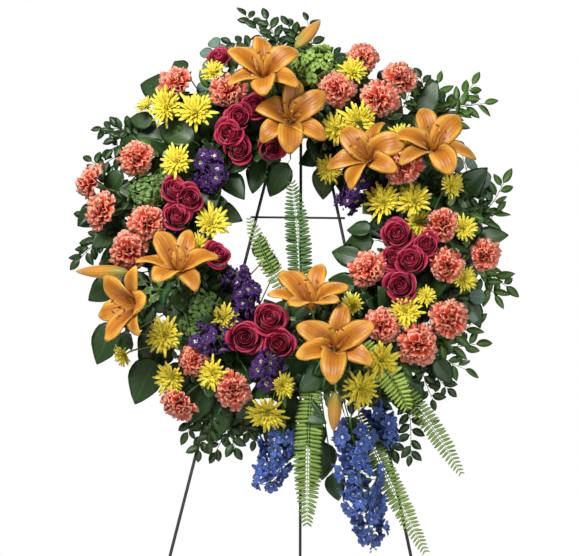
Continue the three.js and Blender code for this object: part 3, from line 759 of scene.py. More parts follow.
@dataclass
class Bench:
    """Where pieces are made and counted, with the ring's axes, the finishes, the crown and the planter."""

    ring: RingAxes
    palette: Palette
    crown: Crown = Crown()
    planter: Planter = Planter()
    triangles: int = 0

    def make(self, name: str, surface: Surface, finish: Finish, slot: str, nodes: Sequence[str] = (),
             body: str = "stand", in_row: bool = False) -> None:
        """Makes one piece of the object.

        Args:
            name: the piece's name.
            surface: its shape, in the ring's axes, or in row millimetres where in_row is set.
            finish: its finish.
            slot: the record's material slot; not used.
            nodes: the CAD nodes that it stands for.
            body: the body that it moves with.
            in_row: whether the surface is already in the row's axes.
        """
        points = surface.points * MM if in_row else self.ring.to_row(surface.points)
        piece = bpy.data.objects.new(name, mesh_of(name, surface, points))
        piece.data.materials.append(self.palette.material(finish))
        bpy.context.scene.collection.objects.link(piece)
        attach(piece, body)
        if nodes:
            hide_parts(*nodes)
        triangles = 2 * len(surface.quads) + len(surface.tris)
        self.triangles += triangles
        log.info("%s: %d triangles, %s", name, triangles, finish.value.name)

    def dress(self, node: str, part: str, surface: Surface, finish: Finish, slot: str = "leaf") -> None:
        """Makes one piece that stands for a node, named after the node and what it is."""
        self.make(f"{node}_{part}", surface, finish, slot, [node])


# ---------------------------------------------------------------- blooms, each about +Z with its stem below


def spread(start: Array, flare: Array, length: Array, rows: int, curl: Array | float = 0.0
           ) -> tuple[Array, Array, Array]:
    """Midlines of petals that open away from the bloom's axis.

    The angle from the axis is start + flare * s**1.25 + curl * s**4 at the share s of the length, and the
    midline is the running sum of that direction.

    Args:
        start: each petal's angle from the axis at its foot.
        flare: how much the angle grows to the tip.
        length: each petal's length.
        rows: points along.
        curl: how much the tip curls back beyond that.

    Returns:
        The distance out, the height and the angle, each (petals, rows).
    """
    share = np.linspace(0, 1, rows)
    angle = start[:, None] + flare[:, None] * share**1.25 + np.reshape(curl, (-1, 1)) * share**4
    step = length[:, None] / (rows - 1)
    halfway = (angle[:, 1:] + angle[:, :-1]) / 2
    steps = (np.sin(halfway) * step, np.cos(halfway) * step)
    out, rise = (np.pad(np.cumsum(part, axis=1), ((0, 0), (1, 0))) for part in steps)
    return out, rise, angle


def petals_round(azimuth: Array, out: Array, rise: Array, angle: Array, sideways: Array, lift: Array,
                 stretch: Array | float = 0.0) -> Array:
    """Petal surfaces about +Z: midline + sideways along the tangent + lift along the normal + stretch onward.

    Args:
        azimuth: each petal's direction round the axis, (petals,).
        out: midline distance from the axis, (petals, rows).
        rise: midline height, (petals, rows).
        angle: midline angle from the axis, (petals, rows).
        sideways: distance across, (petals, rows, columns).
        lift: distance along the upper face's normal, (petals, rows, columns).
        stretch: distance onward along the midline, (petals, rows, columns).

    Returns:
        (petals, rows, columns, 3).
    """
    tilt_cosine, tilt_sine = np.cos(angle)[..., None], np.sin(angle)[..., None]
    radial = out[..., None] - lift * tilt_cosine + stretch * tilt_sine
    height = rise[..., None] + lift * tilt_sine + stretch * tilt_cosine
    cosine, sine = np.cos(azimuth)[:, None, None], np.sin(azimuth)[:, None, None]
    return np.stack([radial * cosine - sideways * sine, radial * sine + sideways * cosine, height], axis=-1)


@dataclass(frozen=True)
class Lily:
    """An open Asiatic lily: three broad inner and three narrow outer tepals, six stamens and a pistil."""

    length: float = 95.0
    inner_width: float = 45.0
    outer_width: float = 36.0
    throat_angle: float = math.radians(25)
    thickness: float = 1.5
    filament: float = 54.0
    anther: float = 8.0
    neck: float = 12.0
    bud_radius: float = 12.5
    bud_overlap: float = 8.0
    rows: int = 18
    columns: int = 11

    def tepals(self, flare: float, chance: Chance) -> Surface:
        """The six tepals.

        The width is its greatest times sin(pi * s**1.15)**0.65. A groove runs along the midline, the sides
        cup near the foot and curl back past the middle, the rim waves, and each tepal twists and bends aside
        a little.

        Args:
            flare: how far the tepals open from foot to tip, in degrees.
            chance: the seeded random source.

        Returns:
            The tepals about +Z.
        """
        inner = np.arange(6) % 2 == 0
        azimuth = np.arange(6) * math.pi / 3 + chance.normal(0, 0.09, 6)
        start = self.throat_angle + np.where(inner, 0.0, 0.08)
        flare = math.radians(flare) + chance.normal(0, 0.2, 6)
        length = self.length * (1 + chance.normal(0, 0.02, 6))
        out, rise, angle = spread(start, flare, length, self.rows, 0.9 + chance.normal(0, 0.25, 6))
        s, t = grid(self.rows, self.columns)
        greatest = np.where(inner, self.inner_width, self.outer_width)[:, None, None]
        width = greatest * (0.1 * (1 - s) + np.sin(np.pi * (0.02 + 0.96 * s) ** 1.15) ** 0.65)
        groove = -1.8 * np.exp(-((t / 0.15) ** 2)) * np.sin(np.pi * s)
        cup = 0.5 * width * t**2 * (0.8 * (1 - s) ** 1.5 - 0.5 * s**2)
        phase = chance.uniform(0, 2 * np.pi, (6, 1, 1))
        wave = 3.0 * np.abs(t) ** 2.5 * np.sin(np.pi * s) * np.sin(2 * np.pi * 1.7 * s + phase + np.sign(t))
        twist = 0.5 * width * t * s * chance.normal(0, 0.28, (6, 1, 1))
        aside = 9 * s**2 * chance.normal(0, 0.6, (6, 1, 1))
        lift = groove + cup + wave + twist
        middle = petals_round(azimuth, out + 2.5, rise - 4, angle, 0.5 * width * t + aside, lift)
        return blades(middle, self.thickness, chance.random(6))

    def _stamens(self, flare: Array, chance: Chance) -> tuple[Array, Array]:
        """The stamens' turns round the axis and their midlines, (6, 9, 3)."""
        out, rise, _ = spread(np.full(6, 0.2), flare, np.full(6, self.filament), 9)
        azimuth = (np.arange(6) + 0.5) * math.pi / 3 + chance.normal(0, 0.08, 6)
        return azimuth, polar(azimuth[:, None], out, rise)

    def filaments(self, chance: Chance) -> Surface:
        """Six thin stamen stalks and the thicker pistil with its three-lobed end."""
        _, paths = self._stamens(0.35 + chance.normal(0, 0.1, 6), chance)
        stalks = tubes(paths, np.linspace(1.0, 0.5, 9), 6, chance.random(6))
        tip = polar(chance.uniform(0, 2 * np.pi), 6, self.filament + 8)[None]
        pistil = bows(np.zeros((1, 3)), tip, tip * [[-0.3, -0.3, 0]], 12)
        radius = np.array([1.5, 1.3, 1.2, 1.1, 1.0, 1.0, 1.0, 1.0, 1.1, 1.4, 2.2, 1.6])
        return Surface.joined([stalks, tubes(pistil, radius, 12, swell=1 + 0.2 * np.cos(3 * full_turn(12)))])

    def anthers(self, chance: Chance) -> Surface:
        """The pollen sacs: small spindles that lie across the ends of the stalks."""
        azimuth, paths = self._stamens(np.full(6, 0.35), chance)
        half = 0.5 * self.anther * unit(polar(azimuth + math.pi / 2, 1, chance.normal(0.2, 0.3, 6)))
        path = bows(paths[:, -1] - half, paths[:, -1] + half, 0.0, 7)
        return tubes(path, 1.9 * np.sin(np.pi * np.linspace(0.08, 0.92, 7)) ** 0.6, 8, chance.random(6))

    def cup(self) -> Surface:
        """The green end of the stem that the tepals stand on."""
        return turned([(0.5, -14), (3.2, -12), (4.6, -6), (3, 2)], 10)

    def bud(self, length: float) -> Surface:
        """A closed bud: a spindle with three shallow folds, its radius R * sin(pi * s**0.8)**0.7."""
        s = np.linspace(0.01, 0.99, 16)
        radius = self.bud_radius * np.sin(np.pi * s**0.8) ** 0.7
        profile = np.stack([radius, (length + self.bud_overlap) * s], axis=-1)
        return turned(profile, 24, 1 - 0.1 * np.exp(-((np.sin(1.5 * full_turn(24)) / 0.3) ** 2)))


@dataclass(frozen=True)
class Carnation:
    """A carnation: ruffled, toothed petals that fan out of a narrow calyx and fill a dome."""

    radius: float = 31.0
    petals: int = 42
    petal_width: float = 27.0
    ruffle: float = 4.4
    teeth: float = 6.0
    thickness: float = 0.8
    rows: int = 6
    columns: int = 10

    def flower(self, chance: Chance) -> Surface:
        """The petals.

        Petal k's tip lies at a share of a dome's angle that grows with the square root of k / n, turned by
        the golden angle, so that the rims crowd evenly over the dome. Each fans out from 4 mm to its full
        width, and its blade folds more and more towards the toothed rim.
        """
        k = np.arange(self.petals)
        share = np.sqrt((k + 0.5) / self.petals)
        azimuth = k * GOLDEN_TURN + chance.normal(0, 0.15, self.petals)
        flare = np.radians(62) * share**1.5 + chance.normal(0, 0.2, self.petals)
        length = (self.radius + 1 + 5 * share) * (1 + chance.normal(0, 0.09, self.petals))
        out, rise, angle = spread(np.radians(60) * share, flare, length, self.rows)
        s, t = grid(self.rows, self.columns)
        width = 4 + (self.petal_width - 4) * s**1.1 * (0.62 + 0.38 * share[:, None, None])
        phase = chance.uniform(0, 2 * np.pi, (self.petals, 1, 1))
        waves = chance.uniform(1.2, 2.2, (self.petals, 1, 1))
        ripple = np.sin(np.pi * waves * t + phase) + 0.4 * np.sin(4.6 * np.pi * t + 2 * phase)
        lift = self.ruffle * s**1.4 * ripple
        teeth = 1.5 * np.abs((self.teeth * t + phase) % 2 - 1)
        stretch = s**4 * (teeth - 0.16 * length[:, None, None] * t**2)
        middle = petals_round(azimuth, out, rise - 14, angle, 0.5 * width * t, lift, stretch)
        return blades(middle, self.thickness, chance.random(self.petals))

    def calyx(self) -> Surface:
        """The green cup under the petals."""
        return turned([(2.0, -30), (4.2, -27), (5.6, -22), (6.4, -14), (6.0, -9), (3.0, -7)], 12)


@dataclass(frozen=True)
class Rose:
    """A spray rose: cupped petals wound in a spiral, tight in the heart and rolled back at the outside."""

    radius: float = 27.0
    height: float = 16.0
    depth: float = 20.0
    petals: int = 18
    thickness: float = 0.9
    rows: int = 9
    columns: int = 9

    def flower(self, chance: Chance) -> Surface:
        """The petals.

        Petal k lies on a cup whose radius grows with k. Its radius swells as sin(pi/2 * s/0.6) up to 0.6 of
        its height. Above that the inner petals close in and the outer ones roll back. Its middle bulges, so a
        rim is a lobe and not part of a circle, and one edge tucks inside its neighbour.
        """
        k = np.arange(self.petals)[:, None, None]
        x = k / (self.petals - 1)
        s, t = grid(self.rows, self.columns)
        cup = 1.8 + (self.radius - 6.5) * x**0.9 * (1 + chance.normal(0, 0.04, (self.petals, 1, 1)))
        top = self.height * (1 - 0.62 * x**1.5) + chance.normal(0, 0.9, (self.petals, 1, 1))
        arc = np.radians(118 - 62 * x**0.6)
        swell = np.sin(0.5 * np.pi * np.minimum(1, s / 0.6))
        over = np.clip((s - 0.6) / 0.4, 0, 1)
        roll = (-1.2 * (1 - x) + 9.0 * x**1.2 * np.maximum(0, x - 0.12)) * over**1.7
        foot = 1.2 + 3 * x
        bulge = 1 + 0.16 * x * (0.4 - t**2) * s
        radial = (foot + (cup - foot) * swell) * bulge + roll * (1 - 0.45 * t**2) + 0.07 * cup * t
        crease = 0.5 * np.sin(2.3 * t + 1.7 * k) * s
        rim = 1 - 0.24 * np.abs(t) ** 2.2 + 0.03 * np.exp(-((t / 0.2) ** 2)) - 0.04 * np.cos(5 * t + k)
        z = -self.depth + (top + self.depth) * s * rim - 5.5 * x * np.maximum(0, x - 0.2) * over**2
        turn = k * GOLDEN_TURN + chance.normal(0, 0.2, (self.petals, 1, 1))
        middle = polar(turn + arc * t * (0.45 + 0.55 * np.sqrt(s)), radial + crease, z)
        return blades(middle[:, :, ::-1], self.thickness, chance.random(self.petals))

    def hip(self) -> Surface:
        """The green hip under the petals."""
        return turned([(1.8, -27), (4.5, -25), (6.2, -21), (5.4, -17), (2.5, -15)], 12)


@dataclass(frozen=True)
class Chrysanthemum:
    """A cushion chrysanthemum: whorls of narrow cupped rays round a small eye.

    A whorl has its count of rays, their length as a share of the radius and their angle from the axis at the
    foot.
    """

    radius: float = 34.0
    ray_width: float = 6.4
    whorls: tuple[tuple[int, float, float], ...] = ((21, 1.02, 78), (19, 0.88, 66), (16, 0.7, 54),
                                                    (12, 0.5, 40),
                                                    (9, 0.33, 28))
    thickness: float = 0.7
    rows: int = 5
    columns: int = 5

    def flower(self, chance: Chance) -> Surface:
        """The rays."""
        counts = [count for count, _, _ in self.whorls]
        whorl, reach, lean = (np.repeat(values, counts) for values in (
            np.arange(len(counts)) * 0.7, [share for _, share, _ in self.whorls],
            np.radians([angle for _, _, angle in self.whorls])))
        total = len(reach)
        around = np.concatenate([np.arange(count) / count for count in counts])
        azimuth = 2 * np.pi * around + whorl + chance.normal(0, 0.1, total)
        length = self.radius * reach * (1 + chance.normal(0, 0.12, total))
        start = lean * 0.8 + chance.normal(0, 0.1, total)
        out, rise, angle = spread(start, 0.3 + chance.normal(0, 0.14, total), length, self.rows)
        s, t = grid(self.rows, self.columns)
        fullness = 0.25 + 0.75 * np.sin(np.pi * (0.05 + 0.8 * s))
        width = self.ray_width * fullness * (0.6 + 0.4 * reach[:, None, None])
        cup = 0.3 * width * t**2
        middle = petals_round(azimuth, out + 1.5, rise - 5, angle, 0.5 * width * t, cup, -1.5 * s**4 * t**2)
        return blades(middle, self.thickness, chance.random(total))

    def cup(self) -> Surface:
        """The green cup of bracts under the rays."""
        return turned([(1.6, -13), (4.5, -11), (8.5, -7.5), (9.0, -5.5), (3.0, -4.5)], 12)

    def eye(self) -> Surface:
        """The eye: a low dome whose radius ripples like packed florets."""
        s = np.linspace(0, 1, 7)
        profile = np.stack([6.2 * np.cos(0.5 * np.pi * s**1.2) + 0.2, -6 + 11 * s], axis=-1)
        return turned(profile, 20, 1 + 0.12 * np.cos(10 * full_turn(20)) * np.cos(4 * np.pi * s)[:, None])


@dataclass(frozen=True)
class Floret:
    """A small flower of a few petals, which stands in spikes and clusters."""

    petals: int
    length: float
    width: float
    start: float
    flare: float
    cup: float
    ruffle: float
    thickness: float = 0.5
    rows: int = 4
    columns: int = 5
    whorls: int = 1

    def flower(self, chance: Chance) -> Surface:
        """The petals: rounded, widest past their middle, each further whorl smaller and steeper."""
        total = self.petals * self.whorls
        whorl = np.repeat(np.arange(self.whorls), self.petals)
        less = 1 - 0.27 * whorl
        azimuth = 2 * np.pi * (np.arange(total) % self.petals) / self.petals + 0.5 * whorl
        azimuth = azimuth + chance.normal(0, 0.1, total)
        start = np.radians(self.start) * less + chance.normal(0, 0.08, total)
        flare = np.radians(self.flare) + chance.normal(0, 0.12, total)
        length = self.length * less * (1 + chance.normal(0, 0.05, total))
        out, rise, angle = spread(start, flare, length, self.rows)
        s, t = grid(self.rows, self.columns)
        width = self.width * less[:, None, None] * (0.25 + 0.75 * np.sin(np.pi * (0.05 + 0.8 * s)))
        phase = chance.uniform(0, 2 * np.pi, (total, 1, 1))
        lift = self.cup * width * t**2 + self.ruffle * s * np.sin(2.6 * t * np.pi + phase)
        stretch = -0.12 * self.length * s**4 * t**2
        middle = petals_round(azimuth, out + 0.4, rise, angle, 0.5 * width * t, lift, stretch)
        return blades(middle, self.thickness, chance.random(total))


STOCK_FLORET = Floret(petals=6, length=16.5, width=16, start=38, flare=55, cup=0.05, ruffle=1.9, whorls=2)
HYDRANGEA_FLORET = Floret(petals=4, length=11, width=11.5, start=72, flare=18, cup=0.08, ruffle=0.5)
DELPHINIUM_FLORET = Floret(petals=5, length=18.5, width=14, start=42, flare=40, cup=0.14, ruffle=1.3)
STOCK_EYE = Floret(petals=5, length=7.5, width=5.5, start=20, flare=50, cup=0.2, ruffle=0.4, rows=3,
                   columns=3)
DELPHINIUM_BEE = Floret(petals=4, length=5.5, width=4.5, start=10, flare=50, cup=0.2, ruffle=0.5, rows=3,
                        columns=3)


# ---------------------------------------------------------------- what stands where


@dataclass(frozen=True)
class Stem:
    """A stem that stands in the foam at a clock angle in degrees, and the heads or plumes that it carries."""

    node: str
    clock: float
    carried: tuple[Any, ...]

    @property
    def heads(self) -> Array:
        """Its heads as [across, up, lift, size]. A head may leave out its lift (0) and its size (1)."""
        return np.array([(*head, *(0.0, 1.0)[len(head) - 2:]) for head in self.carried], float)


def numbered(kind: str, *rows: tuple[Any, ...]) -> tuple[Stem, ...]:
    """Stems of one kind, numbered from one, from rows of a clock angle and what the stem carries."""
    return tuple(Stem(f"{kind}_{i}", clock, tuple(carried)) for i, (clock, *carried) in enumerate(rows, 1))


@dataclass(frozen=True)
class LilyHead:
    """A lily: its throat, where it faces, its own turn, how far it opens, and its bud's two ends if any."""

    throat: Place
    facing: tuple[float, float]
    turn: float
    flare: float = 80.0
    bud: tuple[tuple[float, float], ...] = ()


LILIES = numbered(
    "lily",
    (105, LilyHead((-60, 260, 24), (90, 24), 30, 58, ((-5, 335), (35, 395)))),
    (93, LilyHead((-10, 186, 8), (90, 4), 32)),
    (40, LilyHead((135, 112, 16), (150, 28), 12)),
    (27, LilyHead((243, 128, 18), (75, 25), 50)),
    (-147, LilyHead((-202, -104, 24), (85, 36), 10, 46)),
    (-153, LilyHead((-270, -158, 14), (190, 44), 5, 46, ((-296, -94), (-394, -84)))),
    (-78, LilyHead((34, -158, 14), (100, 40), 8, 40)),
    (-74, LilyHead((77, -238, 46), (84, 14), 25, 66, ((78, -306), (75, -364)))),
)
CARNATIONS = numbered(
    "carnations",
    (122, (-228, 270), (-128, 246)),
    (168, (-292, 121), (-380, 86), (-358, 28)),
    (-175, (-265, -2), (-300, -52)),
    (65, (71, 250), (150, 234)),
    (61, (120, 322, -8, 0.85), (188, 284, -4, 0.95)),
    (22, (190, 97, 36)),
    (-9, (273, -76, 0, 0.92), (343, -50, -6, 0.85), (262, 0, 0, 0.92)),
    (-30, (130, -80)),
    (-42, (160, -185), (225, -220), (280, -170)),
    (-116, (-174, -250, -10, 0.75), (-206, -326), (-105, -305)),
)
ROSES = numbered(
    "spray_roses",
    (115, (-105, 195), (-76, 214), (-105, 135), (-122, 164), (-45, 140), (-148, 318, -4, 0.85)),
    (176, (-218, 58), (-190, 42), (-212, 8), (-138, -58)),
    (-17, (184, -20, 0, 1.05), (235, -40, 0, 0.95), (178, -62, -4, 0.9), (208, -70, 2, 1.15),
     (190, -115, 0, 1.1)),
    (-102, (-84, -212, 0, 1.15), (-42, -178, 2, 1.3), (-22, -224, 2, 1.2)),
)
CHRYSANTHEMUMS = numbered(
    "chrysanthemums",
    (134, (-240, 215, 0, 1.05), (-184, 204, 0, 1.12), (-280, 228, -8, 0.6), (-155, 282, 2, 0.75)),
    (152, (-215, 110)),
    (-179, (-150, -2), (-172, -42, -14, 0.7)),
    (57, (72, 175, -8), (112, 188, -4), (100, 285, -2, 0.8), (190, 155, 0, 0.9), (60, 110, -12, 0.8)),
    (10, (158, 40, 0, 1.08), (213, 40), (280, 70, 0, 0.7), (224, 4, -18, 0.8), (302, -8, 0, 0.75),
     (303, -97, -4, 0.75)),
    (-65, (158, -248), (122, -298), (200, -160, -8, 0.9), (105, -150, -4, 0.7), (235, -132, -4, 0.6)),
    (-96, (-42, -342), (-15, -295, -4, 0.7)),
    (-133, (-227, -208, 0, 1.1), (-214, -280, -6), (-305, -238, 0, 0.6), (-140, -275, -6, 0.85),
     (-120, -175, -2, 0.75)),
)
# A hydrangea head's last number is its radius.
HYDRANGEAS = numbered(
    "green_hydrangea",
    (86, (30, 298, -12, 42), (66, 262, -24, 36)),
    (163, (-270, 58, -20, 36), (-235, 82, -34, 28)),
    (-139, (-160, -160, -16, 34), (-172, -186, -30, 28)),
)
# A plume is its foot, its tip and its radius. A stock's places are [across, up, lift] on the crown.
STOCKS = numbered(
    "stock",
    (143, ((-175, 130, -30), (-135, 78, 6), 27), ((-168, 96, -34), (-152, 70, -8), 22)),
    (33, ((130, 92, -30), (84, 42, 6), 27)),
    (-123, ((-112, -190, -30), (-76, -108, 8), 31), ((-165, -222, -26), (-118, -208, 6), 30),
     ((-54, -284, -20), (-32, -244, 8), 31), ((-110, -120, -34), (-98, -84, -4), 22)),
)
# A delphinium's places are across, up and out of the ring.
DELPHINIUMS = numbered(
    "delphinium",
    (-94, ((-14, -360, 46), (-40, -468, 34), 36)),
    (-70, ((104, -350, 44), (146, -568, 34), 42), ((142, -318, 40), (182, -385, 40), 24)),
)


@dataclass(frozen=True)
class Frond:
    """A fern frond: its foot, its tip, half its width, how far it bows to its own left, and its finish."""

    foot: Place
    tip: Place
    half: float
    bow: float = 6.0
    finish: Finish = Finish.FERN


# What a fern's stem carries is the neck where its fronds part, and then the fronds.
FERNS = numbered(
    "ferns",
    (-86, (-15, -145, 66), Frond((-8, -128, 68), (-84, 16, 84), 19),
     # This frond's deeper green is painted shade.
     Frond((12, -130, 70), (-8, 80, 96), 24, -4, Finish.DEEP_FERN)),
    (-82, (36, -300, 34), Frond((34, -286, 84), (30, -530, 36), 27, -2)),
    (-50, (196, -240, 24), Frond((178, -268, 50), (302, -436, 36), 20),
     Frond((118, -330, 24), (240, -574, 22), 22, -4),
     Frond((122, -220, 116), (204, -330, 104), 27, 8, Finish.YOUNG_FERN)),
)


# ---------------------------------------------------------------- leaves and twigs


@dataclass(frozen=True)
class LeafShape:
    """A leaf made along +X from the foot of its stalk, its upper side to +Z.

    Its width is W * sin(pi * s**a)**b, widest at the share where s**a is one half. It folds up from its
    midrib, arches down along its length and may wave at its rim.
    """

    length: float
    width: float
    widest: float = 0.42
    fullness: float = 0.8
    fold: float = 0.25
    arch: float = 0.16
    wave: float = 0.0
    stalk: float = 5.0
    thickness: float = 0.7
    rows: int = 7
    columns: int = 3

    def variants(self, count: int, chance: Chance) -> list[Surface]:
        """Several leaves of this shape, each with its own arch, fold and twist."""
        return [self._leaf(chance) for _ in range(count)]

    def _leaf(self, chance: Chance) -> Surface:
        """One leaf and its stalk."""
        s, t = grid(self.rows, self.columns)
        power = math.log(0.5) / math.log(self.widest)
        half = 0.5 * self.width * (0.02 + np.sin(np.pi * (0.995 * s) ** power) ** self.fullness)
        arch, fold = self.arch * chance.uniform(0.3, 1.7), self.fold * chance.uniform(0.4, 1.5)
        twist, phase = chance.normal(0, 0.25), chance.uniform(0, 2 * np.pi)
        x = self.stalk + self.length * (s - 0.25 * arch * s**2)
        y = half * t
        wave = np.abs(t) ** 2 * np.sin(2 * np.pi * 2.2 * s + phase + 1.5 * np.sign(t)) * np.sin(np.pi * s)
        z = half * fold * np.abs(t) - self.length * arch * s**2 + y * twist * s + self.wave * wave
        middle = np.stack(np.broadcast_arrays(x, y, z), axis=-1)
        blade = blades(middle, self.thickness, np.array([chance.random()]))
        tip = self.stalk + 0.08 * self.length
        ends = np.array([[[0, 0, 0], [0.6 * self.stalk, 0, 0.2], [tip, 0, 0]]], float)
        stalk = tubes(ends, np.array([0.7, 0.6, 0.5]), 4)
        stalk.blade[:, 0] = 0
        return Surface.joined([blade, stalk])


@dataclass(frozen=True)
class Twig:
    """A twig with leaves of one shape, one by one or in pairs, spaced evenly and smaller towards its tip."""

    shape: LeafShape
    finish: Finish
    spacing: float
    lean: float = 52.0
    bark: float = 1.2
    bare: float = 0.2
    tip_size: float = 0.65
    paired: bool = False

    def grow(self, paths: Array, chance: Chance) -> tuple[Surface, Surface]:
        """Grows leaves along paths.

        Args:
            paths: (twigs, steps, 3), each from its foot to its tip.
            chance: the seeded random source.

        Returns:
            The leaves and the twigs.
        """
        frames = np.concatenate([self._frames(path, chance) for path in paths])
        leaves = scattered(self.shape.variants(5, chance), frames, chance)
        radius = np.linspace(self.bark, 0.45 * self.bark, paths.shape[1])
        return leaves, tubes(paths, radius, 5, chance.random(len(paths)))

    def _frames(self, path: Array, chance: Chance) -> Array:
        """The places of one twig's leaves. The last one closes the tip."""
        run = np.concatenate([[0], np.cumsum(np.linalg.norm(np.diff(path, axis=0), axis=1))])
        stops = np.arange(self.bare * run[-1], run[-1] - 0.3 * self.spacing, self.spacing)
        stops = np.append(np.repeat(stops, 2) if self.paired else stops, run[-1])
        count = len(stops)
        places, along = stations(path, run, stops)
        face = unit(OUTWARD + 0.25 * unit(places * [[1, 1, 0]]) + chance.normal(0, 0.28, (count, 3)))
        side = unit(np.cross(face, along))
        lean = np.radians(self.lean + chance.normal(0, 9, count))[:, None]
        lean[-1] = 0.1
        sign = np.where(np.arange(count) % 2 == 0, 1.0, -1.0)[:, None]
        heading = np.cos(lean) * along + sign * np.sin(lean) * side + chance.normal(0, 0.08, (count, 3))
        size = np.interp(stops / run[-1], [0, 0.4, 1], [0.85, 1, self.tip_size])
        return layings(places, heading, face, size * chance.uniform(0.85, 1.12, count))


SALAL = Twig(LeafShape(74, 49, widest=0.38, fullness=0.86, fold=0.2, arch=0.2, wave=1.6, stalk=9, rows=10,
                       columns=7),
             Finish.SALAL, spacing=42, lean=42, bark=1.8, tip_size=0.9)
MYRTLE = Twig(LeafShape(30, 16, widest=0.45, fullness=0.72, arch=0.12, stalk=2, thickness=0.6, rows=6),
              Finish.SMALL_LEAF, spacing=9.5, tip_size=0.85)
SHOOT = Twig(LeafShape(39, 16, stalk=3, thickness=0.6), Finish.SHOOT_LEAF, spacing=11, lean=50, tip_size=0.85)
PITTOSPORUM = Twig(LeafShape(31, 14, widest=0.5, fullness=0.6, fold=0.12, arch=0.1, wave=1.3, stalk=4,
                             columns=5),
                   Finish.PITTOSPORUM, spacing=8, lean=58, bare=0.35)
EUCALYPTUS = Twig(LeafShape(39, 40, widest=0.5, fullness=0.52, fold=0.1, arch=0.06, stalk=6, rows=8,
                            columns=7),
                  Finish.EUCALYPTUS, spacing=27, lean=70, bark=1.4, paired=True)


@dataclass(frozen=True)
class Greens:
    """Shoots and broad leaves that part from one stem in the foam's side at a clock angle.

    The shoots come in runs, each a kind of twig and then the tips [across, up, out of the ring, bend], where
    the bend may be left out. Each broad leaf is the foot and then the tip, across, up and out of the ring.
    """

    node: str
    clock: float
    runs: tuple[tuple[Any, ...], ...]
    leaves: tuple[tuple[float, ...], ...]
    usual_bend: float = 14.0

    def shoots(self) -> Iterable[tuple[Twig, Array, float]]:
        """The kind, the tip and the bend of each shoot."""
        for twig, *tips in self.runs:
            for tip in tips:
                yield twig, np.array(tip[:3], float), (*tip, self.usual_bend)[3]


GREENS = (
    Greens("greenery_top", 90, (
        (MYRTLE, (-104, 424, 22, -2), (-64, 414, 26, -4), (-130, 372, 20), (-24, 404, 24), (12, 414, 22),
         (-14, 380, 30), (62, 345, 30)),
    ), (
        (-96, 330, 30, -120, 372, 22), (20, 330, 34, 60, 368, 26), (100, 320, 40, 128, 362, 34),
        (52, 130, 70, 48, 60, 58), (76, 120, 66, 96, 62, 60), (-12, 132, 70, -54, 66, 60),
        (-62, 140, 72, -82, 72, 62),
    )),
    Greens("greenery_upper_right", 45, (
        (SHOOT, (258, 292, 24), (322, 292, 16), (342, 256, 20, -6)), (MYRTLE, (226, 296, 40)),
        (PITTOSPORUM, (280, 190, 40)), (SHOOT, (296, 226, 30)), (MYRTLE, (262, 250, 40)),
        (SHOOT, (244, 262, 44), (222, 246, 56)),
    ), (
        (150, 268, 60, 176, 322, 40), (60, 310, 60, 88, 350, 40),
    )),
    Greens("greenery_right", 4, (
        (SHOOT, (378, 100, 22), (382, -88, 14, 16), (362, -106, 22, 10)),
        (EUCALYPTUS, (318, -140, 46), (302, 150, 44)), (SHOOT, (366, 46, 30)), (PITTOSPORUM, (330, 20, 40)),
        (MYRTLE, (338, 60, 40)),
    ), (
        (144, -4, 84, 92, 4, 66), (130, -60, 76, 66, -38, 62), (288, 40, 60, 330, 66, 44),
        (120, -108, 76, 58, -92, 62), (150, -22, 80, 84, -28, 62),
    )),
    Greens("greenery_lower_right", -37, (
        (SHOOT, (326, -200, 22), (308, -242, 8)),
        (MYRTLE, (276, -280, 22), (250, -300, 30), (212, -402, 30, -16)),
        (SHOOT, (320, -166, 34)), (MYRTLE, (180, -392, 24)),
    ), (
        (226, -266, 46, 204, -328, 30), (250, -228, 50, 284, -272, 34), (56, -372, 26, 58, -450, 20),
        (72, -430, 20, 84, -486, 16), (36, -336, 28, 44, -404, 22), (104, -350, 26, 122, -430, 18),
        (150, -330, 30, 176, -404, 24), (2, -336, 24, -4, -412, 20), (196, -250, 50, 150, -318, 30),
        (92, -330, 40, 120, -396, 24),
    )),
    Greens("greenery_lower_left", -110, (
        (MYRTLE, (-168, -398, 22), (-138, -400, 10, -8), (-104, -392, 22), (-126, -370, 28), (-188, -366, 26),
         (-64, -382, 22), (-150, -384, 34)), (SHOOT, (-84, -360, 24)),
    ), (
        (-150, -262, 56, -186, -352, 34), (-176, -256, 50, -216, -330, 30), (-120, -300, 46, -150, -384, 26),
        (-70, -296, 50, -96, -372, 34), (-20, -330, 40, -36, -404, 26), (-60, -62, 66, -66, -10, 66),
        (-42, -90, 60, -46, -40, 64),
    )),
    Greens("greenery_left", 180, (
        (MYRTLE, (-384, 136, 22), (-398, -50, 26), (-392, 32, 24), (-384, -26, 30), (-372, 70, 24),
         (-300, -196, 34),
         (-330, -80, 40)),
    ), (
        (-318, 116, 56, -356, 62, 40), (-350, 48, 34, -408, 16, 24), (-326, 30, 46, -362, -8, 34),
        (-318, -88, 44, -382, -126, 26), (-318, -164, 40, -368, -242, 26), (-292, -190, 50, -322, -226, 36),
        (-244, -226, 46, -288, -316, 30), (-268, -196, 46, -250, -262, 30), (-250, -128, 36, -310, -182, 26),
        (-236, -168, 36, -284, -236, 24), (-256, -84, 40, -330, -118, 30), (-300, -110, 30, -262, -176, 30),
        (-290, -30, 40, -352, -84, 26), (-216, -150, 44, -274, -112, 30), (-214, -206, 40, -262, -250, 30),
    )),
    Greens("greenery_upper_left", 148, (
        (MYRTLE, (-366, 200, 22), (-380, 116, 26)), (EUCALYPTUS, (-160, 354, 30)), (MYRTLE, (-340, 176, 40)),
        (PITTOSPORUM, (-300, 180, 42)), (MYRTLE, (-236, 306, 30), (-350, 158, 30), (-348, 194, 30)),
    ), (
        (-178, 146, 112, -258, 196, 98), (-222, 256, 60, -304, 288, 40), (-262, 196, 70, -314, 214, 52),
        (-210, 300, 52, -238, 336, 36), (-286, 158, 70, -338, 164, 50),
    )),
)


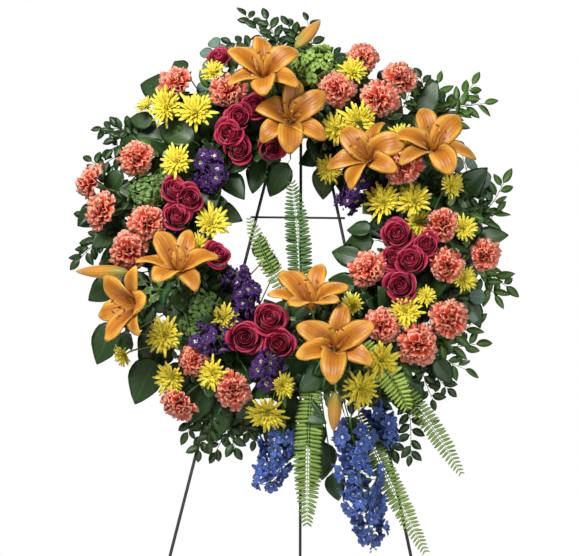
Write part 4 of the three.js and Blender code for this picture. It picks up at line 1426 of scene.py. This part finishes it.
# ---------------------------------------------------------------- sub-assemblies

@dataclass(frozen=True)
class LilyBed:
    """The lilies, each with its tepals, stamens, stem and bud."""

    bench: Bench
    lily: Lily = Lily()

    def build(self) -> None:
        """Dresses every lily."""
        for stem in LILIES:
            self._dress(stem, stem.carried[0], chance_for(stem.node))

    def _dress(self, stem: Stem, head: LilyHead, chance: Chance) -> None:
        """Makes one lily's pieces."""
        bench, lily = self.bench, self.lily
        throat = bench.crown.places(np.array([head.throat], float))
        facing = towards(*head.facing)[None]
        at = headings(throat, facing, math.radians(head.turn))
        tepals = lily.tepals(head.flare, chance).copied(at, chance)
        filaments = lily.filaments(chance).copied(at, chance)
        cup = lily.cup().copied(at, chance)
        anthers = lily.anthers(chance).copied(at, chance)
        necks = throat - facing * lily.neck
        if head.bud:
            foot, tip = bench.crown.places(np.array([(*place, 0.0) for place in head.bud]))
            along = unit(tip - foot)[None]
            at_foot = headings(foot - 2 * along, along)
            bud = lily.bud(float(np.linalg.norm(tip - foot))).copied(at_foot, chance)
            bench.dress(stem.node, "bud", bud, Finish.BUD, "lily_petal")
            necks, facing = np.concatenate([necks, foot[None]]), np.concatenate([facing, along])
        bench.dress(stem.node, "tepals", tepals, Finish.LILY, "lily_petal")
        bench.dress(stem.node, "anthers", anthers, Finish.POLLEN, "lily_petal")
        bench.dress(stem.node, "filaments", filaments, Finish.FILAMENT, "lily_petal")
        stalks = bench.planter.stalks(bench.planter.upright_foot(stem.clock), necks, facing)
        bench.dress(stem.node, "stem", Surface.joined([stalks, cup]), Finish.STEM)


@dataclass(frozen=True)
class Bloom:
    """What a head of one kind is made of, and how far below its place its stem ends."""

    flower: Callable[[Chance], Surface]
    green: Surface
    finish: Finish
    slot: str
    neck: float
    eye: Surface | None = None

    def dress(self, bench: Bench, stems: tuple[Stem, ...], kinds: int = 6) -> None:
        """Dresses every stem with flowers of a few kinds, and each stem begins with another kind."""
        chance = chance_for(self.slot)
        templates = [self.flower(chance) for _ in range(kinds)]
        for turn, stem in enumerate(stems):
            self._stem(bench, stem, templates[turn % kinds:] + templates[:turn % kinds])

    def _stem(self, bench: Bench, stem: Stem, templates: list[Surface]) -> None:
        """Makes one stem's pieces."""
        chance = chance_for(stem.node)
        places = bench.crown.places(stem.heads)
        facing = bench.crown.facing(stem.heads)
        facing = unit(facing + chance.normal(0, 0.13, facing.shape))
        turn = chance.uniform(0, 2 * np.pi, len(places))
        at = headings(places, facing, turn, stem.heads[:, 3] * chance.uniform(0.94, 1.05, len(places)))
        bench.dress(stem.node, "petals", scattered(templates, at, chance), self.finish, self.slot)
        if self.eye is not None:
            bench.dress(stem.node, "eyes", self.eye.copied(at, chance), Finish.EYE, self.slot)
        foot = bench.planter.upright_foot(stem.clock)
        stalks = bench.planter.stalks(foot, places - facing * self.neck, facing)
        bench.dress(stem.node, "stems", Surface.joined([stalks, self.green.copied(at, chance)]), Finish.STEM)


@dataclass(frozen=True)
class HydrangeaBed:
    """Green hydrangea heads: florets of four sepals that cover a dome. The first stem's are the freshest."""

    bench: Bench
    florets: int = 46
    kinds: int = 5
    fork: float = 22.0
    neck: float = 20.0

    def build(self) -> None:
        """Dresses every stem."""
        chance = chance_for("hydrangea")
        templates = [HYDRANGEA_FLORET.flower(chance) for _ in range(self.kinds)]
        for stem in HYDRANGEAS:
            finish = Finish.HYDRANGEA if stem is HYDRANGEAS[0] else Finish.OLD_HYDRANGEA
            self._dress(stem, templates, finish, chance_for(stem.node))

    def _dress(self, stem: Stem, templates: list[Surface], finish: Finish, chance: Chance) -> None:
        """Makes one stem's pieces."""
        bench = self.bench
        places, facing = bench.crown.places(stem.heads), bench.crown.facing(stem.heads)
        frames, pedicels = [], []
        for place, face, radius in zip(places, facing, stem.heads[:, 3]):
            turning = headings(place[None], face[None])[0, :3, :3].T
            spots, outward = self._dome(radius, chance)
            spots, outward = spots @ turning + place, outward @ turning
            frames.append(headings(spots, outward, chance.uniform(0, 6.28, len(spots)),
                                   chance.uniform(0.85, 1.15, len(spots))))
            roots = np.broadcast_to(place - face * self.fork, spots.shape)
            pedicels.append(tubes(bows(roots, spots, outward * 3, 5), 0.8, 4, chance.random(len(spots))))
        sepals = scattered(templates, np.concatenate(frames), chance)
        bench.dress(stem.node, "sepals", sepals, finish, "hydrangea_petal")
        foot = bench.planter.upright_foot(stem.clock)
        stalks = bench.planter.stalks(foot, places - facing * self.neck, facing)
        bench.dress(stem.node, "stems", Surface.joined([stalks, *pedicels]), Finish.STEM)

    def _dome(self, radius: float, chance: Chance) -> tuple[Array, Array]:
        """Points on a low dome about +Z by the golden angle, and their outward directions."""
        k = np.arange(self.florets)
        slope = np.arccos(1 - 1.25 * (k + 0.5) / self.florets)
        outward = polar(k * GOLDEN_TURN, np.sin(slope), np.cos(slope))
        reach = radius * chance.uniform(0.72, 1.04, (self.florets, 1))
        spots = outward * reach * [1, 1, 0.66] - [0, 0, 6]
        return spots, unit(outward + chance.normal(0, 0.38, outward.shape))


@dataclass(frozen=True)
class PlumeBed:
    """Plumes of florets round a stalk.

    spacing is how many florets there are to a square millimetre of length times radius. opening is how much
    of a floret's length stands out past where it is placed.
    """

    bench: Bench
    floret: Floret
    finish: Finish
    slot: str
    spacing: float
    opening: float
    eye: Floret
    eye_finish: Finish
    neck_radius: float = 300.0
    neck_height: float = 25.0

    def on_crown(self, stems: tuple[Stem, ...]) -> None:
        """Dresses stems that stand in the foam's top, with their plumes' ends given on the crown."""
        for stem in stems:
            ends = [self.bench.crown.places(np.array(plume[:2], float)) for plume in stem.carried]
            self._dress(stem, ends, self.bench.planter.upright_foot(stem.clock))

    def below_ring(self, stems: tuple[Stem, ...]) -> None:
        """Dresses stems that come out of the foam's side to a neck, from where their plumes hang."""
        planter = self.bench.planter
        for stem in stems:
            ends = [np.array(plume[:2], float) for plume in stem.carried]
            neck = on_ring(stem.clock, self.neck_radius, self.neck_height)
            self._dress(stem, ends, neck, [rod(planter.side_foot(stem.clock), neck, planter.stem, 8, 5)])

    def _dress(self, stem: Stem, ends: Sequence[Array], root: Array, lead: Sequence[Surface] = ()) -> None:
        """Makes one stem's pieces.

        Args:
            stem: the planned stem.
            ends: each plume's foot and tip.
            root: where the branches to the plumes begin.
            lead: what carries the root, if it isn't in the foam.
        """
        chance = chance_for(stem.node)
        templates = [self.floret.flower(chance) for _ in range(6)]
        plumes = [self._plume(radius, start, tip, chance)
                  for (*_, radius), (start, tip) in zip(stem.carried, ends)]
        frames, green, buds = zip(*plumes)
        at = np.concatenate(frames)
        petals = Surface.joined([scattered(templates, at, chance), *buds])
        self.bench.dress(stem.node, "florets", petals, self.finish, self.slot)
        eyes = scattered([self.eye.flower(chance) for _ in range(3)], at, chance)
        self.bench.dress(stem.node, "eyes", eyes, self.eye_finish, self.slot)
        starts, tips = np.array(ends).transpose(1, 0, 2)
        branches = self.bench.planter.stalks(root, starts, unit(tips - starts))
        self.bench.dress(stem.node, "stems", Surface.joined([branches, *lead, *green]), Finish.STEM)

    def _plume(self, radius: float, start: Array, tip: Array, chance: Chance) -> tuple[Array, Surface,
                                                                                       Surface]:
        """One plume: its florets' places, its stalk with pedicels, and the buds at its tip.

        The florets wind up the stalk by the golden angle, smaller towards the tip.
        """
        length = float(np.linalg.norm(tip - start))
        onward = unit(tip - start)
        sag = np.array([[0, 0, 0.06 * length]])
        path = bows(start[None], tip[None], sag, 14)
        count = max(int(length * radius * self.spacing), 12)
        share = (np.arange(count) + 0.5) / count * 0.93 + 0.01
        spine, _ = stations(path[0], np.linspace(0, 1, 14), share)
        side = unit(np.cross(onward, [0.3, 0.2, 1.0]))
        sides = np.stack([side, np.cross(onward, side), onward])
        around = polar(np.arange(count) * GOLDEN_TURN + chance.normal(0, 0.25, count), 1.0, 0.0) @ sides
        taper = np.interp(share, [0, 0.15, 0.6, 1], [0.7, 1, 0.92, 0.7])
        reach = (radius - self.opening * self.floret.length * 0.7) * taper * chance.uniform(0.35, 1.15, count)
        places = spine + around * reach[:, None] + onward * (0.2 * reach[:, None])
        facing = unit(around + onward * 0.35 + chance.normal(0, 0.34, places.shape))
        size = np.interp(share, [0, 0.7, 1], [1.05, 1.0, 0.72]) * chance.uniform(0.85, 1.1, count)
        at = headings(places, facing, chance.uniform(0, 6.28, count), size)
        pedicels = tubes(bows(spine, places, onward * 2, 5), 0.7, 4, chance.random(count))
        stalk = tubes(path, np.linspace(2.0, 1.0, 14), 7)
        buds = max(count // 5, 5)
        share = np.linspace(0.86, 1.03, buds)[:, None]
        spine = start + (tip - start) * share + sag * np.sin(np.pi * np.minimum(share, 1))
        around = polar(np.arange(buds) * GOLDEN_TURN, 1.0, 0.0) @ sides
        bud_at = headings(spine + around * 4, unit(around + 0.9 * onward), 0.0, np.linspace(1.15, 0.6, buds))
        bud = turned([(0.6, -2), (2.4, 1.5), (2.6, 4), (0.8, 7.5)], 6)
        return at, Surface.joined([pedicels, stalk]), bud.copied(bud_at, chance)


@dataclass(frozen=True)
class FernBed:
    """Sword fern fronds: oblong pinnae in two rows along a stalk."""

    bench: Bench
    pinna: LeafShape = LeafShape(24.0, 7.4, widest=0.3, fullness=0.3, fold=0.12, arch=0.08, wave=0.3,
                                 stalk=0.6,
                                 thickness=0.5)
    gap: float = 6.8

    def build(self) -> None:
        """Dresses every fern."""
        for fern in FERNS:
            chance = chance_for(fern.node)
            neck, fronds = np.array(fern.carried[0], float), fern.carried[1:]
            planter, upright = self.bench.planter, np.hypot(neck[0], neck[1]) < CORE
            foot = (planter.upright_foot if upright else planter.side_foot)(fern.clock)
            green = [rod(foot, neck, 1.9, 7, 6)]
            for turn, frond in enumerate(fronds, 1):
                at, stalk = self._frond(frond, neck, chance)
                pinnae = scattered(self.pinna.variants(5, chance), at, chance)
                self.bench.dress(fern.node, f"pinnae_{turn}", pinnae, frond.finish, "fern_frond")
                green.append(stalk)
            self.bench.dress(fern.node, "stalks", Surface.joined(green), Finish.STEM, "fern_frond")

    def _frond(self, frond: Frond, neck: Array, chance: Chance) -> tuple[Array, Surface]:
        """One frond: its pinnae's places and its stalk. It arches forward between its foot and its tip."""
        foot, tip = np.array(frond.foot, float), np.array(frond.tip, float)
        length = float(np.linalg.norm(tip - foot))
        left = unit(np.cross(OUTWARD[0], tip - foot))
        path = bows(foot[None], tip[None], (frond.bow * left + [0, 0, 0.05 * length])[None], 24)
        count = int(length / self.gap)
        share = np.repeat((np.arange(count) + 0.6) / count, 2)
        places, along = stations(path[0], np.linspace(0, 1, 24), share)
        face = unit(OUTWARD + chance.normal(0, 0.1, (len(share), 3)))
        side = unit(np.cross(face, along)) * np.tile([1.0, -1.0], count)[:, None]
        forward = np.interp(share, [0, 0.75, 1], [0.04, 0.22, 0.8])[:, None]
        heading = side + forward * along + chance.normal(0, 0.04, places.shape)
        reach = frond.half * (0.14 + 0.86 * np.sin(np.pi * (0.16 + 0.8 * share)) ** 0.6)
        size = reach / (self.pinna.length + self.pinna.stalk) * chance.uniform(0.94, 1.05, len(share))
        stalk = tubes(path, np.linspace(1.3, 0.4, 24), 6, 0.4)
        return layings(places, heading, face, size), Surface.joined([stalk, rod(neck, foot, 1.5, 6, 4)])


@dataclass(frozen=True)
class GreenBed:
    """The leafy shoots that ring the flowers."""

    bench: Bench
    fork_radius: float = 300.0
    fork_height: float = 22.0
    longest: float = 190.0

    def build(self) -> None:
        """Dresses every group of shoots, one piece for each kind of leaf."""
        for greens in GREENS:
            chance = chance_for(greens.node)
            fork = on_ring(greens.clock, self.fork_radius, self.fork_height)
            wood = [rod(self.bench.planter.side_foot(greens.clock), fork, 2.2, 7, 4)]
            kinds: dict[Finish, list[Surface]] = {}
            for twig, tip, bend in greens.shoots():
                aside = unit(np.cross(tip - fork, OUTWARD[0])) * bend + [0, 0, 8]
                start = fork if np.linalg.norm(tip - fork) < self.longest else self._nearer(fork, tip)
                leaves, stalk = twig.grow(bows(start[None], tip[None], aside[None], 12), chance)
                kinds.setdefault(twig.finish, []).append(leaves)
                wood.append(stalk)
            feet, tips = np.reshape(greens.leaves, (-1, 2, 3)).astype(float).transpose(1, 0, 2)
            kinds.setdefault(Finish.SALAL, []).append(self._broad(feet, tips, chance))
            radius = np.linalg.norm(feet[:, :2], axis=1, keepdims=True)
            roots = feet * np.clip(radius, 205, 268) / radius
            roots[:, 2] = 34
            wood.append(tubes(bows(roots, feet, 0.0, 6), 1.2, 5, chance.random(len(feet))))
            for finish, leaves in kinds.items():
                self.bench.dress(greens.node, finish.name.lower(), Surface.joined(leaves), finish)
            self.bench.dress(greens.node, "wood", Surface.joined(wood), Finish.TWIG)

    def _broad(self, feet: Array, tips: Array, chance: Chance) -> Surface:
        """Broad leaves, each from its foot to its tip and about facing the front."""
        along, shape = tips - feet, SALAL.shape
        size = np.linalg.norm(along, axis=1) / (0.93 * shape.length + shape.stalk)
        face = unit(OUTWARD + 0.2 * unit(tips * [1, 1, 0]) + chance.normal(0, 0.2, feet.shape))
        return scattered(shape.variants(6, chance), layings(feet, along, face, size), chance)

    def _nearer(self, fork: Array, tip: Array) -> Array:
        """A start for a far shoot: on the ring's outer side, part of the way round to its tip."""
        way = unit(unit(fork) + 1.4 * unit(tip * [1, 1, 0]))
        return way * [self.fork_radius - 30, self.fork_radius - 30, 0] + [0, 0, self.fork_height + 6]


@dataclass(frozen=True)
class Underplanting:
    """Leaves between and under the heads that hide the foam, each kind on short twigs out of it."""

    bench: Bench
    inner_reach: float = 70.0
    outer_reach: float = 94.0
    foot_reach: float = 36.0

    def build(self) -> None:
        """Makes the underplanting, one kind of twig after another."""
        self._strew(SALAL, 150, 34.0, 58.0)
        self._strew(MYRTLE, 90, 62.0, 34.0)
        self._strew(PITTOSPORUM, 50, 62.0, 32.0)
        self._strew(SHOOT, 60, 66.0, 42.0)

    def _strew(self, twig: Twig, count: int, length: float, depth: float) -> None:
        """Plants twigs of one kind all round the ring.

        Their feet lie in the foam's top. They lean to the hole or to the outer side, whichever is nearer.

        Args:
            twig: the kind of twig.
            count: how many.
            length: about how long each is.
            depth: how far below the crown they end.
        """
        name = twig.finish.name.lower()
        chance = chance_for(f"under {name}")
        clock = np.degrees(2 * np.pi * (np.arange(count) + chance.uniform(0, 1, count)) / count)
        share = chance.uniform(-1, 1, count)
        edge = np.abs(share)
        reach = np.where(share > 0, self.outer_reach, self.inner_reach)
        tips = polar(np.radians(clock), CORE + reach * share, 0.0)
        tips[:, 2] = self.bench.crown.places(tips)[:, 2] - depth * chance.uniform(0.8, 1.2, count) - 6 * edge
        swing = np.radians(clock + chance.normal(0, 6, count))
        feet = polar(swing, CORE + self.foot_reach * share, 50 - 12 * edge)
        stretch = length / np.maximum(np.linalg.norm(tips - feet, axis=1, keepdims=True), 1)
        feet = tips + (feet - tips) * np.clip(stretch, 0.8, 2.0)
        leaves, wood = twig.grow(bows(feet, tips, chance.normal(0, 7, feet.shape), 8), chance)
        self.bench.make(f"under_{name}_leaves", leaves, twig.finish, "leaf")
        self.bench.make(f"under_{name}_wood", wood, Finish.TWIG, "leaf")


@dataclass(frozen=True)
class Holder:
    """What the flowers stand in: the foam ring, its tray and the two ties."""

    bench: Bench
    foam_half: float = 42.0
    foam_back: float = 2.5
    foam_side: float = 45.0
    foam_top: float = 68.0
    tray_half: float = 45.5
    tray_wall: float = 3.0
    tray_floor: float = 2.2
    tray_rim: float = 14.0
    tie_width: float = 7.0
    tie_thickness: float = 1.4
    tie_back: float = -11.5

    def build(self) -> None:
        """Makes the foam, the tray and the ties."""
        foam = [(CORE + self.foam_half, self.foam_back),
                *self._arch(self.foam_half, self.foam_top, 15, 0.55, 0.8),
                (CORE - self.foam_half, self.foam_back)]
        self.bench.make("foam_body", hoop(foam, 128), Finish.FOAM, "floral_foam", ["foam_ring"])
        self.bench.make("tray_body", hoop(self._tray_section(), 128), Finish.TRAY, "tray_plastic",
                        ["ring_tray"])
        for node, clock in (("left_tie", 98.0), ("right_tie", 82.0)):
            self.bench.dress(node, "band", self._tie(clock), Finish.TIE, "tie_plastic")

    def _arch(self, half: float, top: float, steps: int, squareness: float, fullness: float) -> list[Any]:
        """The [radius, height] points of a section's sides and rounded top, from the outer side inwards.

        They are half * cos(a)**squareness across and rise by sin(a)**fullness, a from 0 to pi.
        """
        turn = np.linspace(0, np.pi, steps)
        across = CORE + half * np.sign(np.cos(turn)) * np.abs(np.cos(turn)) ** squareness
        return list(zip(across, self.foam_side + (top - self.foam_side) * np.sin(turn) ** fullness))

    def _tray_section(self) -> list[tuple[float, float]]:
        """The tray's section: a floor between two rims, each rolled at its top, the same on both sides."""
        wall, rim = self.tray_wall, self.tray_rim
        side = [(1, 0.0), (0, 1.0), (0, rim - 1), (0.5, rim - 0.2), (wall - 0.5, rim - 0.2), (wall, rim - 1),
                (wall, self.tray_floor)]
        outer = [(CORE + self.tray_half - inset, height) for inset, height in side]
        return outer + [(CORE - self.tray_half + inset, height) for inset, height in reversed(side)]

    def _tie(self, clock: float) -> Surface:
        """A flat band round foam, tray and leg: its own rounded rectangle carried round the loop.

        A small locking head stands on it behind the ring.
        """
        half, back = self.tray_half + 2.2, self.tie_back
        loop = self._arch(half, self.foam_top + 4.2, 25, 0.5, 0.75) + [
            (CORE - half, back + 3), (CORE - half + 3, back), (CORE + half - 3, back),
            (CORE + half, back + 3)]
        centre = np.array([on_ring(clock, radius, height) for radius, height in loop])
        width = unit(np.cross(on_ring(clock, 1, 0), OUTWARD[0]))
        normal = np.cross(unit(np.roll(centre, -1, axis=0) - np.roll(centre, 1, axis=0)), width)
        corners = np.array([(1, -0.5), (0.85, -1), (-0.85, -1), (-1, -0.5), (-1, 0.5), (-0.85, 1), (0.85, 1),
                            (1, 0.5)])
        corners = corners * [0.5 * self.tie_width, 0.5 * self.tie_thickness]
        points = centre[:, None] + corners[None, :, :1] * width + corners[None, :, 1:] * normal[:, None]
        band = looped(points, np.zeros((1, points.shape[0] * points.shape[1], 3)))
        head = turned([(0.5, -3.2), (5.2, -3.0), (5.4, -2.4), (5.4, 2.4), (5.2, 3.0), (0.5, 3.2)], 4)
        place = on_ring(clock, CORE - 22, back - 0.4)[None]
        at = headings(place, OUTWARD, math.radians(clock + 45))
        return Surface.joined([band, head.copied(at, np.random.default_rng(1))])


@dataclass(frozen=True)
class Easel:
    """The folding wire easel, from the ends of its solids' wires."""

    bench: Bench
    leg: float = 2.8
    bar: float = 2.0
    bend: float = 9.0
    eye: float = 6.2
    eye_wire: float = 2.3
    hook_reach: float = 76.0
    hook_tip: float = 20.0

    def build(self) -> None:
        """Makes the legs, bars, hooks and rear leg, with a weld bead or a rounded end at each tip."""
        for node in ("left_leg", "right_leg"):
            foot, top = self._ends(node)
            self._wire(node, [foot, top], self.leg, [self._bead(top, 3.4)])
        for node, radius, bead in (("hinge_bar", self.leg, 3.3), ("upper_crossbar", self.bar, 2.4),
                                   ("rest_bar", self.bar, 2.4)):
            ends = self._ends(node)
            self._wire(node, list(ends), radius, [self._bead(end, bead) for end in ends])
        self._hooks()
        self._rear_leg(self._ends("hinge_bar").mean(axis=0))

    def _ends(self, node: str) -> Array:
        """The middles of a straight wire's two ends, the lower or left one first."""
        points = corners_of(node)
        middle = points.mean(axis=0)
        reach = (points - middle) @ np.linalg.svd(points - middle, full_matrices=False)[2][0]
        low, high = points[reach < reach.min() + 8], points[reach > reach.max() - 8]
        ends = np.array([low.mean(axis=0), high.mean(axis=0)])
        return ends[np.argsort(ends @ np.array([1.0, 0, 10.0]))]

    def _wire(self, node: str, corners: list[Array], radius: float, extras: Sequence[Surface] = (),
              body: str = "stand") -> None:
        """Makes a wire through corners, with a soft bend at each, its foot cut level with the floor."""
        path = self._bent(corners)
        whole = Surface.joined([tubes(path[None], radius, 16), *extras])
        whole.points[:, 2] = np.maximum(whole.points[:, 2], 0.0)
        self.bench.make(f"{node}_wire", whole, Finish.ENAMEL, "enamel_wire", [node], body, in_row=True)

    def _bent(self, corners: list[Array]) -> Array:
        """A path along straight runs, with each inner corner rounded by a quadratic curve."""
        runs = [np.linspace(corners[0], corners[0] + unit(corners[1] - corners[0]) * 3, 3)]
        for before, corner, after in zip(corners, corners[1:], corners[2:]):
            start, end = (corner + unit(side - corner) * self.bend for side in (before, after))
            runs.append(rounded(start, corner, end, np.linspace(0, 1, 9)[:, None]))
        runs.append(np.linspace(corners[-1] + unit(corners[-2] - corners[-1]) * 3, corners[-1], 3))
        return np.concatenate(runs)

    def _bead(self, place: Array, radius: float) -> Surface:
        """A small weld bead or rounded end."""
        s = np.linspace(0.04, 0.96, 7)
        ball = turned(np.stack([radius * np.sin(np.pi * s), -radius * np.cos(np.pi * s)], axis=-1), 12)
        ball.points += place
        return ball

    def _hooks(self) -> None:
        """Makes the hooks: out under the ring from the rest bar's ends, then up towards its middle."""
        ring = self.bench.ring
        for side, end in zip(("left", "right"), ring.from_row(self._ends("rest_bar") * MM)):
            root = np.array([end[0] - math.copysign(self.bar, end[0]), end[1], 0.0])
            out = root + [0, 0, self.hook_reach]
            tip = out - unit(root * [1, 1, 0]) * self.hook_tip
            corners = [ring.to_row(point[None])[0] / MM for point in (root, out, tip)]
            beads = [self._bead(corners[-1], 2.2), self._bead(corners[0], 2.6)]
            self._wire(f"{side}_hook", corners, self.bar, beads)

    def _rear_leg(self, apex: Array) -> None:
        """Makes the rear leg with the eye that turns on the hinge bar."""
        points = corners_of("rear_leg")
        foot = points[points[:, 2] < points[:, 2].min() + 1].mean(axis=0)
        down = unit(foot - apex)
        eye = hoop(polar(full_turn(12), self.eye_wire, 0.0)[:, :2] + [self.eye, 0.0], 32)
        eye.points = eye.points[:, [2, 0, 1]] + apex
        extras = [eye, self._bead(apex + down * 8.5, 3.3)]
        self._wire("rear_leg", [foot, apex + down * self.eye], self.leg, extras, "rear_leg")


@dataclass(frozen=True)
class Studio:
    """White surroundings, a pale floor, soft lights and the camera. Lengths are in metres."""

    position: Place = (0.1484, -3.4765, 0.9208)
    heading: float = 2.6
    roll: float = 0.7
    lens: float = 114.0
    floor_radius: float = 1.5
    ambient: float = 0.2

    def build(self, palette: Palette) -> None:
        """Makes the floor, the world, the lights and the camera."""
        self._floor(palette)
        self._world()
        self._light("key", (-1.2, -2.2, 2.7), 1.2, 120)
        self._light("fill", (1.9, -2.2, 1.4), 1.8, 38)
        self._light("back", (0.3, 1.9, 2.4), 1.6, 24)
        self._camera()
        bpy.context.scene.view_settings.view_transform = "Standard"

    def _place(self, name: str, data: Any) -> bpy.types.Object:
        """Puts data into the scene as an object."""
        holder = bpy.data.objects.new(name, data)
        bpy.context.scene.collection.objects.link(holder)
        return holder

    def _floor(self, palette: Palette) -> None:
        """A round floor, thin and closed, just under the feet."""
        outer = self.floor_radius / MM
        inner = outer - 100
        disc = turned([(inner, -6), (outer, -6), (outer, -0.6), (inner, -0.5)], 96)
        floor = self._place("floor", mesh_of("floor", disc, disc.points * MM))
        floor.data.materials.append(palette.material(Finish.FLOOR))

    def _world(self) -> None:
        """White all round: full white to the eye and softer as a light."""
        world = bpy.data.worlds.new("white studio")
        world.use_nodes = True
        shading = Shading(world.node_tree)
        seen = shading.add("LightPath", {}).outputs["Is Camera Ray"]
        level = shading.ranged(seen, 0.0, 1.0, self.ambient, 1.0)
        sky = shading.add("Background", {"Color": "#FFFFFF", "Strength": level})
        shading.add("OutputWorld", {0: sky.outputs[0]})
        bpy.context.scene.world = world

    def _light(self, name: str, place: Place, size: float, power: float) -> None:
        """A square soft light that faces the middle of the ring."""
        light = bpy.data.lights.new(name, "AREA")
        light.size, light.energy = size, power
        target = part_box("ring_tray")
        aim = (target[0] + target[1]) / 2 - Vector(place)
        turn = aim.to_track_quat("-Z", "Y").to_matrix().to_4x4()
        self._place(name, light).matrix_world = Matrix.Translation(place) @ turn

    def _camera(self) -> None:
        """The camera: level, turned a little to the left and rolled a touch."""
        camera = bpy.data.cameras.new("camera")
        camera.lens, camera.sensor_width = self.lens, 36.0
        turn = Matrix.Rotation(math.radians(self.heading), 4, "Z") @ Matrix.Rotation(math.pi / 2, 4, "X")
        holder = self._place("camera", camera)
        holder.matrix_world = Matrix.Translation(self.position) @ turn @ Matrix.Rotation(
            math.radians(self.roll), 4, "Z")
        bpy.context.scene.camera = holder


def main() -> None:
    """Builds the dressing in order and reports each piece."""
    logging.basicConfig(level=logging.INFO, format="%(message)s")
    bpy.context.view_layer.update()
    bench = Bench(RingAxes.of_tray(), Palette())
    Studio().build(bench.palette)
    Easel(bench).build()
    Holder(bench).build()
    LilyBed(bench).build()
    carnation, rose, mum = Carnation(), Rose(), Chrysanthemum()
    Bloom(carnation.flower, carnation.calyx(), Finish.CARNATION, "carnation_petal", 24.0).dress(bench,
                                                                                                CARNATIONS)
    Bloom(rose.flower, rose.hip(), Finish.ROSE, "rose_petal", 20.0).dress(bench, ROSES)
    Bloom(mum.flower, mum.cup(), Finish.CHRYSANTHEMUM, "chrysanthemum_petal", 10.0, mum.eye()).dress(
        bench, CHRYSANTHEMUMS)
    HydrangeaBed(bench).build()
    PlumeBed(bench, STOCK_FLORET, Finish.STOCK, "stock_petal", spacing=0.0105, opening=0.62, eye=STOCK_EYE,
             eye_finish=Finish.STOCK_EYE).on_crown(STOCKS)
    PlumeBed(bench, DELPHINIUM_FLORET, Finish.DELPHINIUM, "delphinium_petal", spacing=0.0075, opening=0.75,
             eye=DELPHINIUM_BEE, eye_finish=Finish.BEE).below_ring(DELPHINIUMS)
    FernBed(bench).build()
    GreenBed(bench).build()
    Underplanting(bench).build()
    log.info("%d triangles in all", bench.triangles)


if __name__ == "__main__":
    main()
